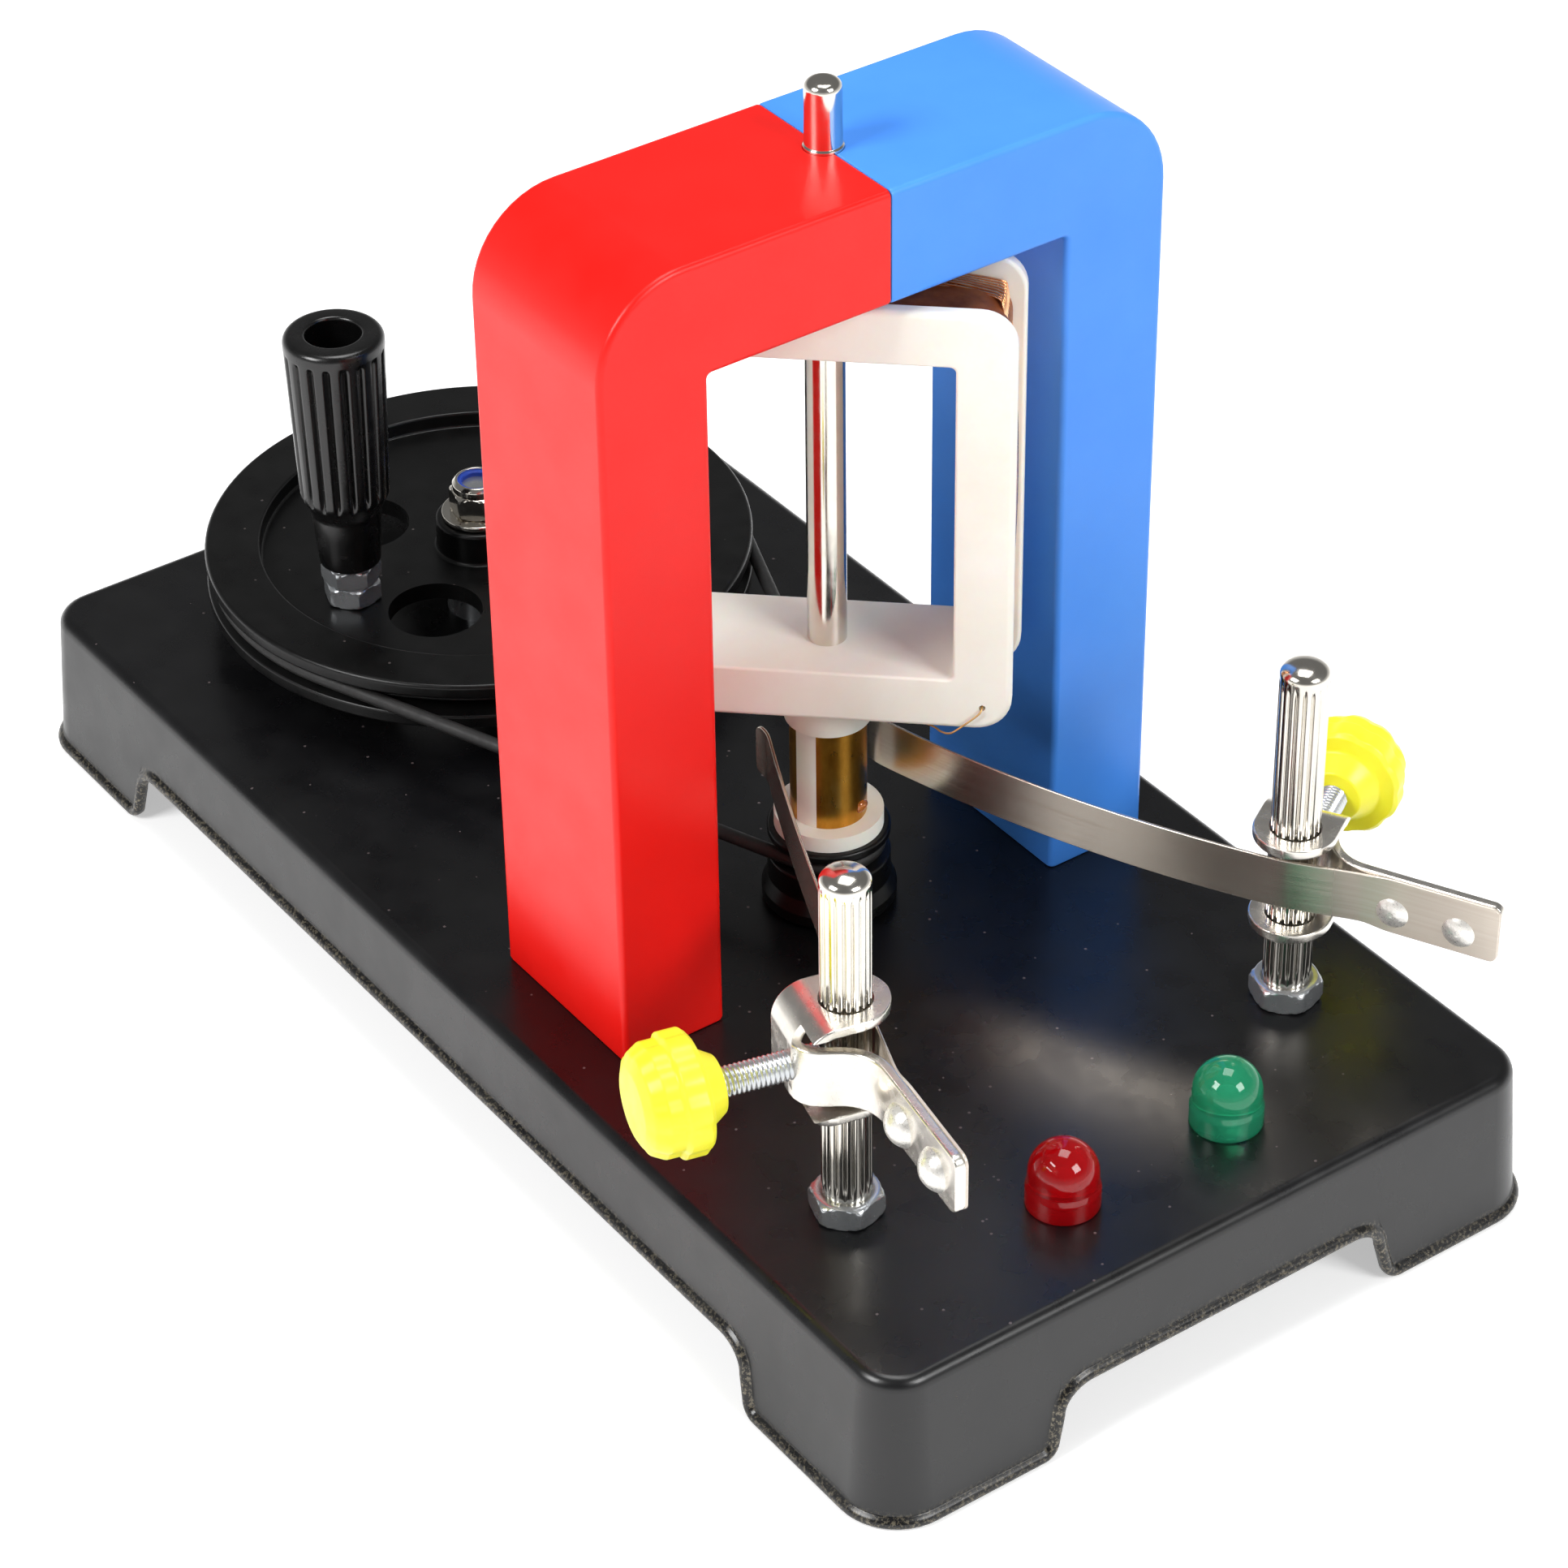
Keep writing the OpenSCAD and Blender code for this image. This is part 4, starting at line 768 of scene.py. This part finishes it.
def belt():
    """The belt's loop: an arc round each wheel. The straight runs between them lean by the
    angle whose sine is the difference of the radii over the distance of the axes, here to
    a hundredth of a degree."""
    cord_r = 0.95
    lean = math.asin((BELT_BIG - BELT_SMALL)/np.linalg.norm(ROTOR - PULLEY))
    lean = round(math.degrees(lean), 2)
    loop = []
    for c, r, start, end, n in ((PULLEY, BELT_BIG, 90 - lean, 270 + lean, 90),
                                (ROTOR, BELT_SMALL, lean - 90, 90 - lean, 30)):
        a = sweep(start, end, n)
        loop.append(np.stack([c[0] + r*np.cos(a), c[1] + r*np.sin(a), np.full(n, BELT_Z)], -1))
    return tube(np.vstack(loop), cord_r, 14, (0, 0, 1), closed=True)


piece("belt_cord", [belt()], RUBBER, "frame", "drive_belt", sharp=180)
piece("small_wheel", [hoop([(2.52, 22.1), (8.8, 22.1), (8.8, 23.8), (8.0, 25.6), (8.0, 29.0),
                            (5.3, BELT_Z - 0.6), (5.3, BELT_Z + 0.6), (8.0, 32.0), (8.0, 33.3),
                            (2.52, 33.3)], [0, .4, .4, .6, .4, .3, .3, .4, .4, 0], 5, ROTOR, 96)],
      BLACK_ABS, "rotor", "rotor_pulley", sharp=35)


def grip():
    """The crank handle. Down the profile the radius is the turned shape; round it, a flute's
    depth is taken off where the raised cosine's fourth power peaks, and fades at both ends."""
    foot, start, end, rows, depth = 37.8, 10.5, 34.2, 60, 0.72
    body = rounded([(2.1, 0), (4.2, 0), (4.85, 8.6), (6.15, 11.4), (6.85, 34.4), (6.85, 36.2),
                    (3.75, 36.2), (3.75, 8.1), (2.1, 8.1)],
                   [0, .5, 3.0, 2.2, .2, 1.1, .5, .3, 0], 8)
    k, m = int(np.argmax(body[:, 1] > start)), int(np.argmax(body[:, 1] > end))
    z = np.linspace(start, end, rows)
    wall = np.stack([np.interp(z, body[:m + 1, 1], body[:m + 1, 0]), z], -1)
    fade = np.zeros(k + rows + len(body) - m)
    fade[k:k + rows] = fading(z, start + 0.4, 1.8, end - 0.1, 0.6)
    body = np.vstack([body[:k], wall, body[m:]])
    r = body[:, :1] - depth*fade[:, None]*dips(18, 4, 360)[None]
    return shell(rings(r, foot + body[:, 1], HANDLE))


piece("crank_grip", [grip()], GRIP_ABS, "grip", "handle_grip", sharp=50)
for k, which in enumerate(("lower", "upper")):
    nut = hexagon_nut(HANDLE, 31.7 + 3.0*k, 7.2, 3.0, 2.0, math.radians(12 + 18*k))
    piece("grip_nut_%d" % (k + 1), [nut], ZINC, "crank_pulley",
          "handle_nut_" + which)
piece("axle_washer", [hoop([(2.0, 36.6), (5.1, 36.6), (5.1, 37.4), (2.0, 37.4)],
                           [0, .2, .2, 0], 4, PULLEY)],
      NICKEL, "frame", "pulley_washer")
piece("axle_nut", [hexagon_nut(PULLEY, 37.4, 7.0, 3.5, 2.0, 0.3),
                   hoop([(2.7, 40.4), (3.4, 40.4), (3.4, 41.9), (2.9, 42.4), (2.6, 42.4),
                         (2.6, 42.0), (2.8, 41.9)], [0, .2, .3, .2, .1, .1, 0], 4, PULLEY)],
      NICKEL, "frame", "pulley_nut")
piece("axle_nut_ring", [hoop([(2.0, 41.0), (2.75, 41.0), (2.75, 42.1), (2.0, 42.1)],
                             [0, 0, .2, .2], 4, PULLEY)],
      NYLON, "frame", "pulley_nut_insert")


# ---------- posts, brushes and lamps ----------

def post(side):
    """A fluted post: the turned radius less a groove where the raised cosine's cube peaks,
    fading at both ends of the flutes, under a tip that is half an ellipse."""
    radius, stem, top, dome, rows, depth = 3.1, 2.6, 71.3, 1.58, 60, 0.34
    tip = sweep(0, 90, 12)
    prof = np.vstack([rounded([(0, 12.6), (stem, 12.6), (stem, DECK), (radius, DECK),
                               (radius, top - 0.1)], [0, .2, 0, 0, 0], 4),
                      np.stack([radius*np.cos(tip), top + dome*np.sin(tip)], -1)])
    low, high = 26, 70.6
    z = np.linspace(low, high, rows)
    prof = np.vstack([prof[prof[:, 1] < low], np.stack([np.full(rows, radius), z], -1),
                      prof[prof[:, 1] > high]])
    z = prof[:, 1]
    fade = fading(z, low + 0.5, 0.5, high - 0.1, 0.6)
    r = np.maximum(prof[:, :1] - depth*fade[:, None]*dips(18, 3, 324)[None], 0.02)
    return shell(rings(r, z, (POST_X, side*POST_Y)))


def thread(length, radius=1.9, pitch=0.6, depth=0.26, n=32):
    """A thread along z: the radius falls by a triangle wave of height over pitch less angle."""
    z = np.arange(0, length, pitch/8)
    wave = np.abs(((z[:, None]/pitch - np.arange(n)[None]/n) % 1)*2 - 1)
    return rings(radius - depth*wave, z)


def knob():
    """A thumb knob: a cone at the rod, then a disc whose edge dips between ten broad lobes,
    where the square of the raised cosine peaks."""
    depth = 0.32
    prof = rounded([(1.95, 0), (3.5, 0), (5.15, 2.6), (7.1, 2.85), (7.65, 3.4), (7.65, 6.0),
                    (7.05, 6.4), (7.05, 8.2), (6.15, 9.8), (4.45, 10.6), (0, 10.6)],
                   [0, .4, .7, .3, .4, .35, .3, .8, 1, 1.2, 0], 6)
    r, z = prof[:, :1], prof[:, 1]
    share = np.clip((z - 2.7)/0.5, 0, 1)*np.clip((r[:, 0] - 5.0)/1.6, 0, 1)
    return rings(np.maximum(r - depth*share[:, None]*dips(10, 2, 240)[None], 0.02), z)


def clamped(points, side):
    """Points of a clamp's own frame (x along the arm, y towards the leaf, the post's axis at
    the origin) in their place: turned about the post, and mirrored for the right one."""
    p = turned(points, -CLAMP_TURN[side], (0, 0))
    return p*[1, -SIDES[side], 1] + [POST_X, SIDES[side]*POST_Y, CLAMP_Z[side]]


def outward(points, side, start):
    """Moves a shape made along z to the thumb screw's axis, which points away from the leaf."""
    return clamped(np.stack([points[..., 0], -(points[..., 2] + start), points[..., 1]], -1),
                   side)


def clamp(side):
    """A bent clamp. The bracket is a strip whose path is a C seen along the arm, and whose
    half width shrinks as a half circle at the ends of the ears. It is bored for the post and
    the screw, and its back is cut away beside the arm, a second strip bent off the back."""
    wide, back, level, tall_arm, edge_r = 5.3, -6.75, 6.55, 4.1, 0.28
    post_r, screw_r, inside, far = 3.3, 2.0, 5.9, 9
    a = sweep(90, 0, 16)[:-1]
    ear = np.stack([wide*np.sin(a), np.full(len(a), level)], -1)
    bow = rounded([(0, level), (back, level), (back, -level), (0, -level)], [0, 3.75, 3.75, 0], 14)
    path = np.vstack([ear, bow, ear[::-1]*[1, -1]])
    tall = np.concatenate([wide*np.cos(a), np.full(len(bow), wide), wide*np.cos(a[::-1])])
    grid = strip(path, tall, ARM_T/2, edge_r)[..., [2, 0, 1]]
    lift = np.array([0, 0, -SIDES[side]*0.7])
    obj = piece("bent_clamp_" + side, [shell(clamped(grid + lift, side))], PLATED_STRIP,
                "brush_" + side, "clamp_" + side, sharp=40)
    bore = rings(np.full((2, 64), post_r), (-far, far))
    beside = np.array([[(1.2, -far, z), (far, -far, z), (far, far, z), (1.2, far, z)]
                       for z in (-inside, inside)])
    screw = rings(np.full((2, 40), screw_r), (5, far))[..., [0, 2, 1]]*[1, -1, 1]
    for tool in (bore, beside + lift, screw):
        cut(obj, shell(clamped(tool, side)), 40)
    bend = rounded([(-1, back), (2.741, back), (5.602, 1.112), (ARM_L, ARM_Y)],
                   [0, 3.2, 6, 0], 16)
    path, s, drop = paced(bend, 1.0, 1.3)
    drop[s < 3] = 0
    joined(obj, shell(clamped(strip(path, tall_arm - drop, ARM_T/2, edge_r), side)), 40)


def leaf(side):
    """A brush leaf. In plan: straight on its arm, one circular arc to beside the commutator,
    and a short flare away from it, with the kinks between them eased. It is wider where it is
    riveted, and its ends have rounded corners."""
    gap, bar_r, ahead, flare_r = 3.6, 4.95, 1, 3.6
    half_tall, more, wide_to, easing = 3.62, 0.42, 18, 4
    short, leave, air = 0.12, 9.8, 0.02
    kink, sign = KINK[side], SIDES[side]
    # The arc's chord runs from the bend to the end, beside the commutator. Half the angle
    # between chord and arc gives its radius, and each point lies on a chord of its own.
    end = np.array([[ROTOR[0] - ahead - POST_X, POST_Y - bar_r - gap - sign*ROTOR[1], 0]])
    chord = turned(end, CLAMP_TURN[side], (0, -LEAF_Y))[0]
    half = math.atan2(chord[1], -chord[0]) - kink
    radius = np.linalg.norm(chord)/2/math.sin(half)
    t = half*np.linspace(0, 1, 60)
    arc = np.stack([-2*radius*np.sin(t)*np.cos(kink + t),
                    LEAF_Y + 2*radius*np.sin(t)*np.sin(kink + t)], -1)
    way, i = kink + 2*half, sweep(4, 48, 12)
    fore, aside = np.sin(i), 1 - np.cos(i)
    flare = arc[-1] + flare_r*np.stack([-fore*math.cos(way) - aside*math.sin(way),
                                        fore*math.sin(way) - aside*math.cos(way)], -1)
    x, off = np.array([ARM_L - short, leave]), (ARM_T + LEAF_T)/2 + air
    y = ARM_Y - (ARM_L - x)*math.tan(ARM_LEAN)
    arm = np.stack([x - off*math.sin(ARM_LEAN), y + off*math.cos(ARM_LEAN)], -1)
    path, s, drop = paced(bent(np.vstack([arm, arc, flare])), 0.7, 1.1)
    root = np.clip((wide_to - s)/easing, 0, 1)
    grid = strip(path, half_tall + more*root*root*(3 - 2*root) - drop, LEAF_T/2)
    lay = np.stack([np.repeat(s[:, None], grid.shape[1], 1), grid[..., 2], 0*grid[..., 2]], -1)
    return shell(clamped(grid, side), lay=lay)


for side, sign in SIDES.items():
    piece("fluted_post_" + side, [post(sign)], NICKEL, "frame", "post_" + side,
          sharp=60)
    piece("foot_nut_" + side, [hexagon_nut((POST_X, sign*POST_Y), DECK, 8.2, 3.3, 3.1, 0.25)],
          ZINC, "frame", "post_nut_" + side)
    piece("screw_rod_" + side, [shell(outward(thread(18.4), side, 3.4))], ZINC, "rod_" + side,
          "thumb_rod_" + side, sharp=60)
    piece("screw_knob_" + side, [shell(outward(knob(), side, 16.0))], YELLOW, "knob_" + side,
          "thumb_knob_" + side, sharp=50)
    clamp(side)
for side in SIDES:
    piece("brush_strip_" + side, [leaf(side)], LEAF, "brush_" + side,
          "brush_leaf_" + side, sharp=40)


def lens(side):
    """A lamp's dome: half a ball on a drum, over a slightly wider skirt that blends into it."""
    ball, skirt, stem, middle = 4.4, 4.65, 3.4, 26.3
    a = sweep(0, 90, 18)[:-1]
    prof = np.vstack([rounded([(0, 18.6), (stem, 18.6), (stem, DECK), (skirt, DECK),
                               (skirt, 24.4), (ball, 25.3), (ball, middle - 0.1)],
                              [0, .2, 0, .3, 1.4, 1.0, 0], 6),
                      np.stack([ball*np.cos(a), middle + ball*np.sin(a)], -1),
                      [[0.0, middle + ball]]])
    return lathe(prof, (LAMP_X, side*LAMP_Y), 72)


for colour, sign, resin in (("red", -1, RED_LENS), ("green", 1, GREEN_LENS)):
    piece("lens_" + colour, [lens(sign)], resin, "frame", "lamp_" + colour,
          sharp=60)


# ---------- CAD nodes that stay ----------

STAYS = [(BRASS, ["commutator_bar_a", "commutator_bar_b"]),
         (IVORY, ["commutator_body", "rotor_bearing"]),
         # The coil's core takes copper with painted shade, dark where it shows between the
         # strands.
         (SHADED_INNER_TURNS, ["coil_core"]),
         (RIVET, ["rivet_%s_%s" % (s, w) for s in SIDES for w in ("inner", "outer")]),
         (ZINC, ["magnet_screw_red", "magnet_screw_blue", "pulley_bolt", "pulley_spacer",
                 "handle_screw"] + ["post_%s_%s" % (w, s) for s in SIDES
                                    for w in ("washer", "locknut")])]
for surface, names in STAYS:
    for name in names:
        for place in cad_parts[name].material_slots:
            place.material = surface


# ---------- studio ----------

WHITE = (1, 1, 1, 1)


def sky():
    """A world that is plain white to the eye and through the lenses, and that lights and
    mirrors as a bright band near the floor under a dim ceiling."""
    world = bpy.data.worlds.new("studio")
    bpy.context.scene.world = world
    world.use_nodes = True
    tree = world.node_tree
    tree.nodes.clear()
    rays = add(tree, "ShaderNodeLightPath").outputs
    seen = calc(tree, "MAXIMUM", rays["Is Camera Ray"], rays["Is Transmission Ray"])
    up = component(tree, add(tree, "ShaderNodeTexCoord").outputs["Generated"], "Z")
    fade = spread(tree, up, 0.0, 0.35, 0.9, 0.18)
    plain = add(tree, "ShaderNodeBackground", {"Color": WHITE, "Strength": fade})
    white = add(tree, "ShaderNodeBackground", {"Color": WHITE, "Strength": 1.0})
    mix = add(tree, "ShaderNodeMixShader", {0: seen, 1: plain.outputs[0], 2: white.outputs[0]})
    add(tree, "ShaderNodeOutputWorld", {"Surface": mix.outputs[0]})


def lights():
    """Three soft lamps, in metres and watts, aimed at the middle of the object."""
    for name, place, size, power in (("key", (-0.05, -0.95, 0.85), 0.48, 11.0),
                                     ("fill", (1.0, 0.25, 0.8), 0.48, 9.0),
                                     ("top", (-0.1, 0.15, 1.25), 0.6, 7.0)):
        light = bpy.data.lights.new(name, "AREA")
        light.size, light.energy = size, power
        obj = placed(name, light)
        obj.location = place
        aim = Vector((0.0, 0.0, 0.06)) - Vector(place)
        obj.rotation_euler = aim.to_track_quat("-Z", "Y").to_euler()


def floor():
    """A pale floor that keeps its shadow, lifted towards white where it is seen or mirrored."""
    half, below = 6, -0.0002
    mat = bpy.data.materials.new("pale floor")
    mat.use_nodes = True
    tree = mat.node_tree
    tree.nodes.clear()
    rays = add(tree, "ShaderNodeLightPath").outputs
    seen = calc(tree, "MAXIMUM", rays["Is Camera Ray"], rays["Is Glossy Ray"])
    matt = add(tree, "ShaderNodeBsdfDiffuse", {"Color": (0.86, 0.86, 0.86, 1)})
    glow = add(tree, "ShaderNodeEmission", {"Color": WHITE,
                                            "Strength": calc(tree, "MULTIPLY", seen, 0.45)})
    both = add(tree, "ShaderNodeAddShader", {0: matt.outputs[0], 1: glow.outputs[0]})
    add(tree, "ShaderNodeOutputMaterial", {"Surface": both.outputs[0]})
    mesh = bpy.data.meshes.new("floor")
    mesh.from_pydata([(-half, -half, below), (half, -half, below), (half, half, below),
                      (-half, half, below)], [], [(0, 1, 2, 3)])
    mesh.materials.append(mat)
    placed("floor", mesh)


def camera():
    """The photograph's view: 54.9 degrees round, 36.5 degrees up, under a degree of roll."""
    az, el, roll = math.radians(54.898), math.radians(36.5), math.radians(-0.852)
    back = Vector((math.sin(az)*math.cos(el), -math.cos(az)*math.cos(el), math.sin(el)))
    right = (-back).cross(Vector((0, 0, 1))).normalized()
    up = right.cross(-back)
    r = math.cos(roll)*right + math.sin(roll)*up
    u = -math.sin(roll)*right + math.cos(roll)*up
    data = bpy.data.cameras.new("camera")
    data.sensor_width, data.lens, data.clip_end = 36.0, 111.0, 20.0
    obj = placed("camera", data)
    turn = Matrix((r, u, back)).transposed().to_4x4()
    obj.matrix_world = Matrix.Translation((0.42323, -0.29016, 0.40714)) @ turn
    bpy.context.scene.camera = obj


bpy.context.scene.view_settings.view_transform = "Standard"
sky()
lights()
floor()
camera()
